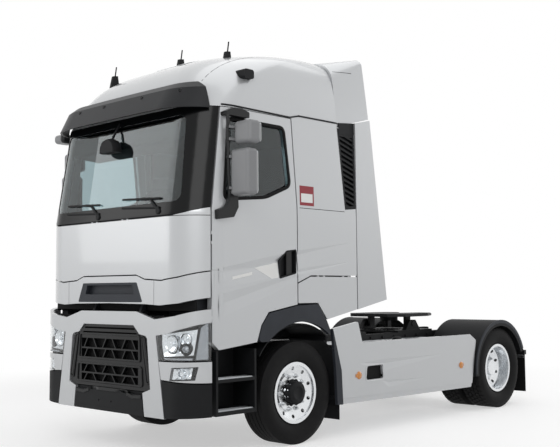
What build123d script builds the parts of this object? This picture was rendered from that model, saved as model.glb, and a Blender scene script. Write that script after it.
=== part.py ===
from build123d import *
import math
import os

# Driving sizes in millimetres. X runs forward from the front axle, Y to the left, Z up from the road.
WHEELBASE = 3800
FRONT_REACH = 1462
REAR_OVERHANG = 760
CAB_HALF = 1235
SHIFT_X = (WHEELBASE + REAR_OVERHANG - FRONT_REACH) / 2
FIT = 0.3

TYRE_R = 507
TYRE_W = 315
BEAD_R = 286
BEAD_W = 224
FLANGE_R = 304
FLANGE_T = 12
FRONT_TYRE_Y = CAB_HALF - 213
TWIN_PITCH = 350
REAR_TYRE_Y = CAB_HALF - 157
FLAP_MID = REAR_TYRE_Y - 163
FLAP_HANG = 640
BEAM_HALF = CAB_HALF - 85
AXLE_Z = TYRE_R
HAND_HOLES = 10
HUB_R = 140
SPINDLE_R = 45
KINGPIN_Y = FRONT_TYRE_Y - 160
KINGPIN_R = 25
STEER_ARM_X = -185
STEER_ARM_Z = 404

RAIL_Y = 425
RAIL_FLANGE = 75
RAIL_T = 9
RAIL_TOP = 980
RAIL_H = 266
RAIL_FRONT = 1280
RAIL_REAR = -(WHEELBASE + REAR_OVERHANG - 70)

CAB_FRONT = 1442
CAB_REAR = -880
CAB_CORNER_R = 400
CAB_CROWN = 10
CAB_BOTTOM = 980
BELT_Z = 2247
EAVE_Z = 3250
EAVE_FRONT = 1288
EAVE_HALF = CAB_HALF - 21
WALL = 60
FRONT_WALL = 35
SEAM = 14
FLOOR_Z = 1500
FLOOR_T = 60
PIVOT_X = 1330
PIVOT_Z = 1300
DOOR_FRONT = 1176
DOOR_REAR = 60
DOOR_HINGE_Y = CAB_HALF - 27
DOOR_HINGE_R = 3
DOOR_HINGE_X = DOOR_FRONT + 3
HINGE_EYE_R = 5.5
DOOR_HINGE_Z = (1330, 2010)
LID_HINGE_Y = CAB_HALF - 4
LID_HINGE_X = (-300, -700)
LID_TOP = 1662
ARCH_R = 706
FLAP_TOP = 2212
COWL_GAP = 17

BUMPER_FRONT = 1452
BUMPER_HALF = CAB_HALF + 11
BUMPER_CORNER_R = 300
BUMPER_BACK = 1206
BUMPER_T = 32
LENS_T = 8

DECK_FRONT = -980
DECK_REAR = -(WHEELBASE - 1750)
TANK_FRONT = -1460
TANK_REAR = -(WHEELBASE - 840)
TANK_SIDE = CAB_HALF - 47
SKIRT_T = 29
COUPLING_X = -(WHEELBASE - 720)
COUPLING_TOP = 1215
KINGPIN_BORE_R = 25.6
JAW_R = 84
JAW_H = 99

DOOR_OUTLINE = [
    (DOOR_FRONT, 1060),
    (1110, 990),
    (630, 1040),
    (570, 1200),
    (470, 1320),
    (DOOR_REAR, 1386),
    (DOOR_REAR, 2360),
    (120, EAVE_Z - 7),
    (1044, EAVE_Z - 7),
    (DOOR_FRONT, 2270),
]
WINDOW_TOP = EAVE_Z - 110
DOOR_WINDOW = [(1046, 2372), (497, 2424), (150, 2562), (226, WINDOW_TOP), (972, WINDOW_TOP)]
SIDE_OUTLINE = [
    (DOOR_REAR - SEAM, LID_TOP - 56),
    (-145, LID_TOP + SEAM),
    (CAB_REAR, LID_TOP + SEAM),
    (CAB_REAR, EAVE_Z),
    (120 - SEAM, EAVE_Z),
    (DOOR_REAR - SEAM, 2360),
]
VENT_OUTLINE = [(-600, EAVE_Z - 8), (-900, EAVE_Z - 8), (-900, 2394), (-700, 2374)]
VENT_OPENING = [(-636, EAVE_Z - 90), (-858, EAVE_Z - 90), (-858, 2424), (-726, 2410)]
VENT_SLATS = 14
LID_OUTLINE = [
    (DOOR_REAR - SEAM, LID_TOP - 70),
    (-140, LID_TOP),
    (CAB_REAR, LID_TOP),
    (CAB_REAR, 1318),
    (-394, 1226),
    (-250, 1398),
    (DOOR_REAR - SEAM, 1398),
]
ARCH_OUTLINE = [
    (618, 1034),
    (556, 1196),
    (462, 1308),
    (DOOR_REAR - 4, 1374),
    (-242, 1384),
    (-386, 1212),
    (-468, 1060),
]
LOWER_FAIRING = [(-898, 1318), (-1405, 1416), (-1140, EAVE_Z + 138), (-886, EAVE_Z + 78)]

# Creases pressed into the sides. Each row is a station from front to rear: its place along the side, the
# height of the sharp line, the drop of the face that falls back under it, its depth, and its run-out below.
UPPER_CREASE = [
    (1200, 1718, 16, 5, 170),
    (1130, 1731, 26, 8, 170),
    (1040, 1748, 38, 12, 160),
    (650, 1824, 80, 22, 150),
    (53, 1928, 50, 15, 190),
    (-760, 2029, 4, 1, 50),
]
LOWER_CREASE = [
    (1200, 1486, 116, 3, 150),
    (1130, 1499, 110, 4, 150),
    (1040, 1516, 102, 16, 140),
    (430, 1632, 58, 13, 100),
    (40, 1684, 14, 3, 50),
]
WALL_CREASE = [(70, 1741, 40, 9, 30), (-300, 1785, 30, 7, 30), (-740, 1824, 3, 1, 20)]
SKIRT_UPPER = [(-930, 752, 6, 2, 20), (-1360, 774, 56, 13, 90), (-2470, 762, 4, 1, 20)]
SKIRT_LOWER = [(-1290, 543, 5, 2, 20), (-1420, 541, 34, 10, 60), (-2090, 510, 4, 1, 20)]
SKIRT_LEDGE = 10

# The black foot and top bracket of the mirrors, seen from the side.
MIRROR_FOOT = [
    (1148, 2178),
    (1152, 2266),
    (1056, 2302),
    (1030, 2335),
    (1020, 2420),
    (914, 2420),
    (908, 2300),
    (966, 2206),
]
MIRROR_EAR = [
    (1044, EAVE_Z - 94),
    (1048, EAVE_Z - 60),
    (962, EAVE_Z - 18),
    (858, EAVE_Z - 14),
    (762, EAVE_Z - 40),
    (762, EAVE_Z - 94),
]

# The pocket of the door handle, seen from the side, and the upright bar in it.
HANDLE_POCKET = [(316, 1814), (212, 1910), (DOOR_REAR + 18, 1926), (DOOR_REAR + 22, 1697), (312, 1646)]
HANDLE_DEPTH = 40
HANDLE_BAR = (142, 206)

# Front view, left half: distance from the middle, then height.
EDGE = CAB_HALF + 65
FLAP_LOW = [(0, 1686), (430, 1686), (560, 1646), (800, 1632), (1000, 1660), (EDGE, 1738)]
STRIP_TOP = [(0, 1674), (436, 1674), (560, 1634), (800, 1620), (1000, 1648), (EDGE, 1726)]
STRIP_LOW = [(0, 1415), (560, 1408), (780, 1397), (1000, 1416), (EDGE, 1490)]
MOUSTACHE_TOP = [(0, 1338), (449, 1338), (720, 1268), (1000, 1302), (EDGE, 1376)]
MOUSTACHE_LOW = [(0, 1209), (406, 1209), (494, 1128), (590, 1112)]
LAMP_TOP = [(742, 1120), (900, 1142), (1110, 1196), (EDGE, 1262)]
LAMP_OUTLINE = LAMP_TOP + [(EDGE, 904), (776, 896)]
FOG_LENS = [(960, 838), (1190, 850), (1170, 730), (930, 718)]
FOG_OUTLINE = [(782, 884), (EDGE, 892), (EDGE, 700), (812, 724)]
CORNER_OUTLINE = [(816, 712), (EDGE, 688), (EDGE, 402), (864, 378)]
FANG = [(590, 1112), (612, 1090), (660, 625), (546, 585), (574, 372), (858, 372), (776, 890), (736, 1126)]
PILLAR_FOOT = [
    (940, FLAP_TOP + 6),
    (1050, FLAP_TOP + 28),
    (1140, FLAP_TOP + 54),
    (1210, FLAP_TOP + 80),
    (EDGE, FLAP_TOP + 118),
    (EDGE, FLAP_TOP + 6),
]
SKIRT_TOP = [(0, 596), (180, 596), (240, 566), (536, 566)]

# Height, front, half width, corner radius and crown of each roof section.
ROOF_SECTIONS = [
    (EAVE_Z, EAVE_FRONT, EAVE_HALF, CAB_CORNER_R, 10),
    (EAVE_Z + 230, 1206, EAVE_HALF - 20, 520, 30),
    (EAVE_Z + 470, 1010, EAVE_HALF - 64, 640, 60),
    (EAVE_Z + 630, 660, EAVE_HALF - 139, 680, 60),
    (EAVE_Z + 735, 120, EAVE_HALF - 314, 640, 40),
]
ROOF_T = 40
ROOF_REAR = -600

# Height, front, half width and corner radius of the visor at its lip, crease and top edge.
VISOR_SECTIONS = [
    (EAVE_Z - 28, FRONT_REACH, EAVE_HALF + 4, 490),
    (EAVE_Z + 175, 1352, EAVE_HALF + 8, 480),
    (EAVE_Z + 242, 1262, EAVE_HALF - 10, 470),
]
VISOR_T = 26

# Two lattice bands, each of two rows of humps between upright ends.
GRILLE_HALF = 470
GRILLE_HUMPS = 3
GRILLE_BAR = 15
GRILLE_ROWS = [(640, 726), (726, 815), (865, 970), (970, 1075)]

# Left and right take the same shapes, mirrored.
SIDES = (1, -1)


def block(x_low, x_high, y_low, y_high, z_low, z_high):
    """A box between two corners."""
    size = Box(x_high - x_low, y_high - y_low, z_high - z_low)
    return Pos((x_low + x_high) / 2, (y_low + y_high) / 2, (z_low + z_high) / 2) * size


def rod(start, end, radius):
    """A round bar from one point to another."""
    along = Vector(*end) - Vector(*start)
    plane = Plane(origin=start, z_dir=along)
    return extrude(plane * Circle(radius), along.length)


def outline(points, radius=0):
    """A closed polygon, its corners rounded when a radius is given."""
    if radius:
        return make_face(FilletPolyline(*points, radius=radius, close=True))
    return make_face(Polyline(*points, close=True))


def side_prism(points, y_low, y_high, radius=0):
    """A shape drawn from the side and run across between two values of Y."""
    face = Pos(0, y_low, 0) * (Plane.XZ * outline(points, radius))
    return extrude(face, y_high - y_low, dir=(0, 1, 0))


def front_prism(points, x_low, x_high, radius=0):
    """A shape drawn from the front and run forward between two values of X."""
    face = Pos(x_low, 0, 0) * (Plane.YZ * outline(points, radius))
    return extrude(face, x_high - x_low, dir=(1, 0, 0))


def both_sides(shape):
    """A left-hand shape and its mirrored right-hand twin, kept as separate solids."""
    return Compound(children=[*solids_of(shape), *solids_of(mirror(shape, about=Plane.XZ))])


def solids_of(shape):
    """The solids of a shape."""
    return list(shape.solids())


def group(*shapes):
    """Several shapes kept as separate solids of one piece."""
    found = []
    for shape in shapes:
        found.extend(solids_of(shape))
    return Compound(children=found)


def full_width(half):
    """A front-view line of the left half carried over to the right half."""
    return [(-y, z) for y, z in reversed(half) if y] + half


def band(top, low, x_low, x_high):
    """A front-view strip across the vehicle between an upper and a lower line."""
    return front_prism(full_width(top) + list(reversed(full_width(low))), x_low, x_high)


def plan_outline(front_x, rear_x, half_w, corner_r, crown, z):
    """The outline of a cab from above: crowned front, round corners, flat sides."""
    edge_x = front_x - crown
    nose = ThreePointArc((edge_x, half_w), (front_x, 0), (edge_x, -half_w))
    rest = Polyline((edge_x, -half_w), (rear_x, -half_w), (rear_x, half_w), (edge_x, half_w))
    face = make_face([nose, rest])
    return Pos(0, 0, z) * fillet(face.vertices().sort_by(Axis.X)[-2:], corner_r)


def cab_envelope(inset):
    """The closed outer form of the cab below the roof, drawn in by a wall thickness."""
    corner = CAB_CORNER_R - inset
    belt = plan_outline(CAB_FRONT - inset, CAB_REAR, CAB_HALF - inset, corner, CAB_CROWN, BELT_Z)
    eave = plan_outline(EAVE_FRONT - inset, CAB_REAR, EAVE_HALF - inset, corner, CAB_CROWN, EAVE_Z)
    lower = extrude(belt, BELT_Z - CAB_BOTTOM, dir=(0, 0, -1))
    return lower, loft([belt, eave], ruled=True)


def cab_skin(thickness):
    """Lower and upper rings of the cab wall, as thick as the panel that is cut from them."""
    outer_low, outer_up = cab_envelope(0)
    inner_low, inner_up = cab_envelope(thickness)
    return outer_low - inner_low, outer_up - inner_up


def bumper_envelope(inset):
    """The outer form of the bumper, drawn in by a thickness."""
    plan = plan_outline(
        BUMPER_FRONT - inset, 900, BUMPER_HALF - inset, BUMPER_CORNER_R - inset, CAB_CROWN, 340
    )
    return extrude(plan, 1100)


def bumper_skin(outer, inner):
    """The part of the bumper's form between two depths, ahead of the door seam."""
    skin = bumper_envelope(outer) - bumper_envelope(inner)
    return skin & block(BUMPER_BACK, 1600, -EDGE, EDGE, 340, 1440)


def wall_y(x):
    """Half the cab's width below the belt, at a place along its side."""
    past = max(0, x - (CAB_FRONT - CAB_CROWN / 2 - CAB_CORNER_R))
    return CAB_HALF - CAB_CORNER_R + math.sqrt(CAB_CORNER_R**2 - past**2)


def crease(stations):
    """A wedge that leaves a sharp line along the left side, with a face falling back under it."""
    sections = []
    for x, z, drop, depth, run_out in stations:
        y = wall_y(x)
        wedge = outline([(y + 2, z), (y - depth, z - drop), (y + 2, z - drop - run_out)])
        sections.append(Pos(x, 0, 0) * (Plane.YZ * wedge))
    return loft(sections, ruled=True)


def tyre():
    """A tyre about the Y axis: beads, round sidewalls and a flat tread."""
    half = TYRE_W / 2
    bead = BEAD_W / 2 - 2
    shoulder = half - 18
    tread = half - 28
    right = [
        Line((BEAD_R + FIT, bead), (FLANGE_R + 6, bead)),
        ThreePointArc((FLANGE_R + 6, bead), (TYRE_R - 105, half), (TYRE_R - 22, shoulder)),
        Line((TYRE_R - 22, shoulder), (TYRE_R, tread)),
    ]
    left = [edge.mirror(Plane.XZ) for edge in right]
    caps = [
        Line((TYRE_R, tread), (TYRE_R, -tread)),
        Line((BEAD_R + FIT, -bead), (BEAD_R + FIT, bead)),
    ]
    return revolve(make_face(right + left + caps), Axis.Y)


def rim(dish, hub_depth):
    """A forged rim about the Y axis: barrel, two flanges, a dished disc and hand holes."""
    half = BEAD_W / 2
    bore = BEAD_R - 14
    profile = [
        (BEAD_R, -half),
        (FLANGE_R, -half),
        (FLANGE_R, -half - FLANGE_T),
        (bore, -half - FLANGE_T),
        (bore, dish - 26),
        (HUB_R + 50, hub_depth - 24),
        (SPINDLE_R + FIT, hub_depth - 24),
        (SPINDLE_R + FIT, hub_depth),
        (HUB_R + 54, hub_depth),
        (bore, dish),
        (bore, half + FLANGE_T),
        (FLANGE_R, half + FLANGE_T),
        (FLANGE_R, half),
        (BEAD_R, half),
    ]
    body = revolve(outline(profile), Axis.Y)
    for index in range(HAND_HOLES):
        angle = 360 / HAND_HOLES * (index + 0.5)
        body -= Rot(0, angle, 0) * rod((238, -200, 0), (238, 200, 0), 19)
    return body


def hub(length_in, length_out, radius):
    """A hub drum about the Y axis, bored for its spindle."""
    drum = rod((0, -length_in, 0), (0, length_out, 0), radius)
    return drum - rod((0, -length_in - 10, 0), (0, length_out - 40, 0), SPINDLE_R + FIT)


def front_wheel():
    """Rim of a steered wheel, with its disc near the outer face and a hub cap."""
    cap = rod((0, 60, 0), (0, 150, 0), 108)
    return rim(96, 70) + (cap - rod((0, 50, 0), (0, 100, 0), SPINDLE_R + FIT))


def rear_wheel():
    """Rims of a twin wheel on one hub: the outer deep dished, the inner turned about."""
    outer = rim(-20, -70)
    inner = Rot(0, 0, 180) * rim(-20, -70)
    spread = Pos(0, -TWIN_PITCH, 0) * inner
    drum = rod((0, -TWIN_PITCH + 70, 0), (0, -70, 0), HUB_R)
    cap = rod((0, -70, 0), (0, 40, 0), 95)
    bore = rod((0, -TWIN_PITCH, 0), (0, 0, 0), SPINDLE_R + FIT)
    return outer + spread + (drum + cap - bore)


def frame_rails():
    """Two pressed channels, open inwards."""
    low = RAIL_TOP - RAIL_H
    channel = block(RAIL_REAR, RAIL_FRONT, RAIL_Y - RAIL_FLANGE, RAIL_Y, low, RAIL_TOP)
    web_y = RAIL_Y - RAIL_T
    throat = (low + RAIL_T, RAIL_TOP - RAIL_T)
    channel -= block(RAIL_REAR - 5, RAIL_FRONT + 5, RAIL_Y - RAIL_FLANGE - 5, web_y, *throat)
    fork = side_prism([(1150, RAIL_TOP - 5), (1275, RAIL_TOP - 5), (1372, PIVOT_Z), (1288, PIVOT_Z)], 0, 20)
    fork += rod((PIVOT_X, 0, PIVOT_Z), (PIVOT_X, 20, PIVOT_Z), 42)
    pin = rod((PIVOT_X, RAIL_Y - 87, PIVOT_Z), (PIVOT_X, RAIL_Y - 3, PIVOT_Z), 20)
    rail = channel + Pos(0, RAIL_Y - 87, 0) * fork + Pos(0, RAIL_Y - 23, 0) * fork + pin
    horn = block(1180, RAIL_FRONT, RAIL_Y - RAIL_FLANGE, RAIL_Y, 480, low + 5)
    return both_sides(rail + horn)


def frame_crossmembers():
    """Tubes and plates that tie the two rails together."""
    half = RAIL_Y - RAIL_T - FIT
    rear = -WHEELBASE
    places = [
        (1230, -190, -60),
        (-1450, -90, -20),
        (rear + 1550, -110, -20),
        (rear + 650, -150, -30),
        (rear - 500, -200, -60),
    ]
    bars = [block(x - 45, x + 45, -half, half, RAIL_TOP + low, RAIL_TOP + high) for x, low, high in places]
    return group(*bars)


def front_axle_beam():
    """A forged beam, dropped in the middle, with an eye for each kingpin."""
    half = [(0, 330), (520, 330), (680, 430), (KINGPIN_Y - 40, 440)]
    top = [(0, 440), (500, 440), (650, 560), (KINGPIN_Y - 40, 574)]
    beam = front_prism(full_width(top) + list(reversed(full_width(half))), -55, 55)
    for side in (-1, 1):
        web = front_prism(
            [(-480, 360), (480, 360), (470, 412), (-470, 412)], side * 90 - 55, side * 90 + 55
        )
        beam -= web
    for side in SIDES:
        place = Pos(0, side * KINGPIN_Y, AXLE_Z)
        beam += place * Cylinder(58, 140)
        beam -= place * Cylinder(KINGPIN_R + FIT, 200)
        seat = block(-110, 110, side * RAIL_Y - 60, side * RAIL_Y + 60, 420, 560 - FIT)
        beam += seat
    return beam


def knuckle():
    """The left steering knuckle: kingpin, two ears, the spindle and the steering arm."""
    ears = Pos(0, KINGPIN_Y, AXLE_Z + 92) * Cylinder(62, 32)
    ears += Pos(0, KINGPIN_Y, AXLE_Z - 92) * Cylinder(62, 32)
    ears += block(-62, 62, KINGPIN_Y, KINGPIN_Y + 104, AXLE_Z + 76, AXLE_Z + 108)
    ears += block(-62, 62, KINGPIN_Y, KINGPIN_Y + 104, AXLE_Z - 108, AXLE_Z - 76)
    yoke = block(-80, 80, KINGPIN_Y + 70, KINGPIN_Y + 104, AXLE_Z - 108, AXLE_Z + 108)
    pin = Pos(0, KINGPIN_Y, AXLE_Z) * Cylinder(KINGPIN_R, 216)
    spindle = rod((0, KINGPIN_Y + 90, AXLE_Z), (0, FRONT_TYRE_Y + 90, AXLE_Z), SPINDLE_R)
    arm_shape = [
        (20, KINGPIN_Y - 34),
        (20, KINGPIN_Y + 34),
        (STEER_ARM_X - 26, KINGPIN_Y + 26),
        (STEER_ARM_X - 26, KINGPIN_Y - 26),
    ]
    arm = extrude(Pos(0, 0, STEER_ARM_Z - 6) * outline(arm_shape), 30)
    arm -= Pos(STEER_ARM_X, KINGPIN_Y, STEER_ARM_Z) * Cylinder(14 + FIT, 200)
    return ears + yoke + pin + spindle + arm


def tie_rod():
    """The bar that joins the two steering arms, with an upright stud at each end."""
    low = STEER_ARM_Z - 40
    bar = rod((STEER_ARM_X, -KINGPIN_Y, low), (STEER_ARM_X, KINGPIN_Y, low), 20)
    for side in SIDES:
        bar += Pos(STEER_ARM_X, side * KINGPIN_Y, low) * Cylinder(28, 52)
        bar += Pos(STEER_ARM_X, side * KINGPIN_Y, low + 35) * Cylinder(14, 70)
    return bar


def front_leaf_springs():
    """Two bowed leaves under each rail on the axle's seats, hung at both ends."""
    low = RAIL_TOP - RAIL_H
    y_low = RAIL_Y - 45
    arc = ThreePointArc((-820, 690), (0, 590), (820, 690))
    lower = ThreePointArc((820, 660), (0, 560), (-820, 660))
    leaf = make_face([arc, Line((820, 690), (820, 660)), lower, Line((-820, 660), (-820, 690))])
    spring = extrude(Pos(0, y_low, 0) * (Plane.XZ * leaf), 90, dir=(0, 1, 0))
    spring += block(790, 850, y_low, y_low + 90, 655, low)
    spring += block(-850, -790, y_low, y_low + 90, 655, low)
    return both_sides(spring)


def rear_axle_housing():
    """A banjo axle: a tube with the final drive in its middle and spindles at its ends."""
    tube = rod((-WHEELBASE, -560, AXLE_Z), (-WHEELBASE, 560, AXLE_Z), 78)
    drive = Pos(-WHEELBASE, 0, AXLE_Z) * Sphere(205)
    nose = rod((-WHEELBASE, 0, AXLE_Z), (-WHEELBASE + 360, 0, AXLE_Z + 60), 95)
    spindle = rod((-WHEELBASE, -REAR_TYRE_Y + 60, AXLE_Z), (-WHEELBASE, REAR_TYRE_Y - 60, AXLE_Z), SPINDLE_R)
    return tube + drive + nose + spindle


def rear_spring_carriers():
    """A bowed beam under each rail end of the axle, carrying two air springs."""
    top = AXLE_Z + 78
    x = -WHEELBASE
    shape = [
        (x - 520, 430),
        (x - 280, 430),
        (x - 120, top + 20),
        (x + 120, top + 20),
        (x + 280, 430),
        (x + 520, 430),
        (x + 520, 390),
        (x + 260, 390),
        (x + 100, top - 20),
        (x + 100, AXLE_Z),
        (x - 100, AXLE_Z),
        (x - 100, top - 20),
        (x - 260, 390),
        (x - 520, 390),
    ]
    beam = side_prism(shape, 340, 440)
    beam -= rod((x, 300, AXLE_Z), (x, 500, AXLE_Z), 78 + FIT)
    return both_sides(beam)


def rear_air_bellows():
    """Four rubber bellows between the spring carriers and the rails."""
    low = 430
    high = RAIL_TOP - RAIL_H
    waist = (low + high) / 2
    sides = [
        Line((0, low), (95, low)),
        ThreePointArc((95, low), (125, (low + waist) / 2), (108, waist)),
        ThreePointArc((108, waist), (125, (high + waist) / 2), (105, high)),
        Line((105, high), (0, high)),
        Line((0, high), (0, low)),
    ]
    bag = revolve(Plane.XZ * make_face(sides), Axis.Z)
    places = [(-WHEELBASE + along, side * 390) for along in (-400, 400) for side in SIDES]
    return group(*[Pos(x, y, 0) * bag for x, y in places])


def powertrain_block():
    """Engine and gearbox as one plain block, from the fan to the output flange."""
    low = block(-330, 960, -300, 300, 620, 1000)
    head = block(-330, 960, -400, 340, 1000, 1430)
    box = block(-1150, -330, -210, 210, 640, 960)
    flange = rod((-1150, 0, 840), (-1231, 0, 830), 70)
    reach = RAIL_Y - RAIL_T - FIT
    mounts = block(500, 640, -reach, reach, 800, 860) + block(-700, -600, -reach, reach, 800, 860)
    return low + head + box + flange + mounts


def propshaft():
    """The shaft from the gearbox flange to the final drive."""
    return rod((-1231.6, 0, 830), (-WHEELBASE + 364, 0, AXLE_Z + 61), 62)


def radiator_pack():
    """Radiator and charge cooler, standing on the front cross member."""
    core = block(1010, 1150, -330, 330, 560, 1260)
    tanks = block(1020, 1140, -330, 330, 1260, 1290)
    feet = block(1100, 1185, -300, 300, RAIL_TOP - 180, RAIL_TOP - 70)
    return core + tanks + feet


def fuel_tanks():
    """A box tank on each side, held off the rail by two brackets."""
    tank = block(TANK_REAR, TANK_FRONT, 500, TANK_SIDE, 400, 920)
    tank = fillet(tank.edges().filter_by(Axis.X), 70)
    for x in (TANK_REAR + 360, TANK_FRONT - 340):
        tank += block(x - 40, x + 40, RAIL_Y + FIT, 510, 740, 860)
    return both_sides(tank)


def chassis_boxes():
    """Battery and exhaust boxes ahead of the tanks."""
    box = block(TANK_FRONT + 60, -740, 500, TANK_SIDE, 420, 940)
    box = fillet(box.edges().filter_by(Axis.X), 30)
    box += block(-1200, -1000, RAIL_Y + FIT, 510, 760, 860)
    return both_sides(box)


def side_skirts():
    """A thin shroud along each side, with a hump behind the front wheel and a step hole."""
    shape = [
        (-540, 340),
        (-520, 700),
        (-496, 905),
        (-486, 1020),
        (-470, 1126),
        (-891, 1187),
        (-960, 966),
        (TANK_REAR - 136, 966),
        (TANK_REAR - 270, 890),
        (TANK_REAR - 156, 318),
    ]
    panel = side_prism(shape, CAB_HALF - SKIRT_T, CAB_HALF, 20)
    step_hole = [(-1020, 560), (-1320, 560), (-1300, 706), (-1040, 706)]
    panel -= side_prism(step_hole, TANK_SIDE, EDGE, 25)
    for line in (SKIRT_UPPER, SKIRT_LOWER):
        panel -= crease(line)
    ledge = [(-500, 404), (TANK_REAR - 300, 364), (TANK_REAR - 300, 250), (-500, 250)]
    panel -= side_prism(ledge, CAB_HALF - SKIRT_LEDGE, EDGE)
    for x in (TANK_REAR + 360, TANK_FRONT - 340, -760):
        panel += block(x - 30, x + 30, TANK_SIDE, CAB_HALF - SKIRT_T + 9, 640, 720)
    return both_sides(panel)


def catwalk_deck():
    """A ribbed plate behind the cab, over the rails."""
    deck = block(DECK_REAR, DECK_FRONT, -RAIL_Y, RAIL_Y, RAIL_TOP, RAIL_TOP + 30)
    for index in range(5):
        x = DECK_FRONT - 170 - index * (DECK_FRONT - DECK_REAR - 350) / 4
        deck -= block(x - 20, x + 20, -RAIL_Y + 60, RAIL_Y - 60, RAIL_TOP - 5, RAIL_TOP + 40)
    return deck


def fifth_wheel_mount():
    """The cross plate on the rails with a bearing block each side for the coupling's trunnion."""
    plate = block(COUPLING_X - 380, COUPLING_X + 380, -RAIL_Y, RAIL_Y, RAIL_TOP, RAIL_TOP + 24)
    plate -= block(COUPLING_X - 200, COUPLING_X + 200, -200, 200, RAIL_TOP - 5, RAIL_TOP + 40)
    for side in SIDES:
        foot = side_prism(
            [
                (COUPLING_X - 160, RAIL_TOP + 20),
                (COUPLING_X + 160, RAIL_TOP + 20),
                (COUPLING_X + 60, RAIL_TOP + 150),
                (COUPLING_X - 60, RAIL_TOP + 150),
            ],
            side * 360 - 30,
            side * 360 + 30,
        )
        plate += foot
    plate -= rod((COUPLING_X, -600, RAIL_TOP + 105), (COUPLING_X, 600, RAIL_TOP + 105), 30 + FIT)
    return plate


def fifth_wheel_plate():
    """The rocking top plate with its throat, its ramps and the trunnion that it rocks on."""
    top = COUPLING_TOP
    shape = [
        (COUPLING_X + 430, -300),
        (COUPLING_X + 430, 300),
        (COUPLING_X + 250, 455),
        (COUPLING_X - 250, 455),
        (COUPLING_X - 560, 300),
        (COUPLING_X - 560, 210),
        (COUPLING_X - 64, 48),
        (COUPLING_X - 64, -48),
        (COUPLING_X - 560, -210),
        (COUPLING_X - 560, -300),
        (COUPLING_X - 250, -455),
        (COUPLING_X + 250, -455),
    ]
    plate = extrude(Pos(0, 0, top - 40) * outline(shape, 12), 40)
    for side in SIDES:
        ramp = side_prism(
            [
                (COUPLING_X - 400, top + 5),
                (COUPLING_X - 700, top + 5),
                (COUPLING_X - 700, top - 36),
            ],
            side * 260 - 120,
            side * 260 + 120,
        )
        plate -= ramp
        y = side * 295
        plate += block(COUPLING_X - 48, COUPLING_X + 48, y - 22, y + 22, RAIL_TOP + 60, top - 20)
    plate -= Pos(COUPLING_X, 0, top) * Cylinder(JAW_R + FIT, 200)
    trunnion = rod((COUPLING_X, -400, RAIL_TOP + 105), (COUPLING_X, 400, RAIL_TOP + 105), 30)
    trunnion -= block(COUPLING_X - 60, COUPLING_X + 60, -280, 280, RAIL_TOP, top - 45)
    return plate + trunnion


def kingpin_jaw():
    """The closed lock ring round the kingpin, let into the plate from below."""
    ring = Pos(COUPLING_X, 0, COUPLING_TOP - JAW_H / 2) * Cylinder(JAW_R, JAW_H)
    flange_h = JAW_H - 40
    ring += Pos(COUPLING_X, 0, COUPLING_TOP - JAW_H + flange_h / 2) * Cylinder(JAW_R + 34, flange_h)
    return ring - Pos(COUPLING_X, 0, COUPLING_TOP) * Cylinder(KINGPIN_BORE_R, 300)


def rear_mudguards():
    """A curved guard over each twin wheel, with an outer lip."""
    x = -WHEELBASE
    outer = TYRE_R + 108
    ring = rod((x, 530, AXLE_Z), (x, 1256, AXLE_Z), outer)
    ring -= rod((x, 520, AXLE_Z), (x, 1248, AXLE_Z), outer - 10)
    ring -= rod((x, 1200, AXLE_Z), (x, 1300, AXLE_Z), outer - 75)
    wedge = [
        (x + 800, -200),
        (x + 800, 440),
        (x + 560, 440),
        (x, AXLE_Z),
        (x - 560, 700),
        (x - 800, 700),
        (x - 800, -200),
    ]
    guard = ring - side_prism(wedge, 500, 1300)
    guard += block(x - 40, x + 40, RAIL_Y + FIT, 545, RAIL_TOP - 60, RAIL_TOP - 20)
    guard += block(x - 40, x + 40, 530, 556, RAIL_TOP - 60, 1118)
    return both_sides(guard)


def front_mudguards():
    """A curved guard behind each front wheel, with its flap, and the housing over the wheel."""
    outer = TYRE_R + 128
    ring = rod((0, 700, AXLE_Z), (0, 1196, AXLE_Z), outer)
    ring -= rod((0, 690, AXLE_Z), (0, 1210, AXLE_Z), outer - 10)
    keep = [(-900, 330), (-900, 1080), (-370, 1040), (-560, 330)]
    guard = ring & side_prism(keep, 600, 1300)
    crown = ARCH_R - 16
    hood = rod((0, 690, AXLE_Z), (0, 1196, AXLE_Z), crown)
    hood -= rod((0, 700, AXLE_Z), (0, 1210, AXLE_Z), crown - 10)
    guard += hood & block(-460, 460, 600, 1300, AXLE_Z + TYRE_R + 18, 1300)
    guard += hood & block(300, 560, 701, 1300, 900, 1300)
    guard += block(-425, -405, 700, 1196, 985, 1050)
    guard += block(-622, -612, 880, 1190, 180, 420)
    guard += block(-740, -618, 900, 960, 560, 620)
    return both_sides(guard)


def rear_mudflaps():
    """Rubber flaps behind the twin wheels, hung from the tail beam."""
    x = -(WHEELBASE + REAR_OVERHANG)
    return both_sides(block(x + 96, x + 110, FLAP_MID - 315, FLAP_MID + 315, 150, FLAP_HANG))


def tail_beam():
    """The cross beam at the tail that carries lamps and flaps."""
    x = -(WHEELBASE + REAR_OVERHANG)
    beam = block(x + 20, x + 66, -BEAM_HALF, BEAM_HALF, 660, 780)
    for side in SIDES:
        beam += block(x + 60, x + 110, side * FLAP_MID - 315, side * FLAP_MID + 315, FLAP_HANG, 700)
        beam += block(x + 60, RAIL_REAR - FIT, side * 380 - 40, side * 380 + 40, FLAP_HANG, RAIL_TOP - 5)
    return beam


def tail_lamps():
    """A lamp cluster at each end of the tail beam."""
    x = -(WHEELBASE + REAR_OVERHANG)
    return both_sides(block(x, x + 20, 690, 1120, 670, 770))


def side_markers():
    """Small amber lamps on the skirts."""
    lamps = [
        block(x - 45, x + 45, CAB_HALF, CAB_HALF + 8, z - 18, z + 18)
        for x, z in ((-885, 618), (TANK_REAR + 75, 602))
    ]
    return both_sides(group(*lamps))


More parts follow.
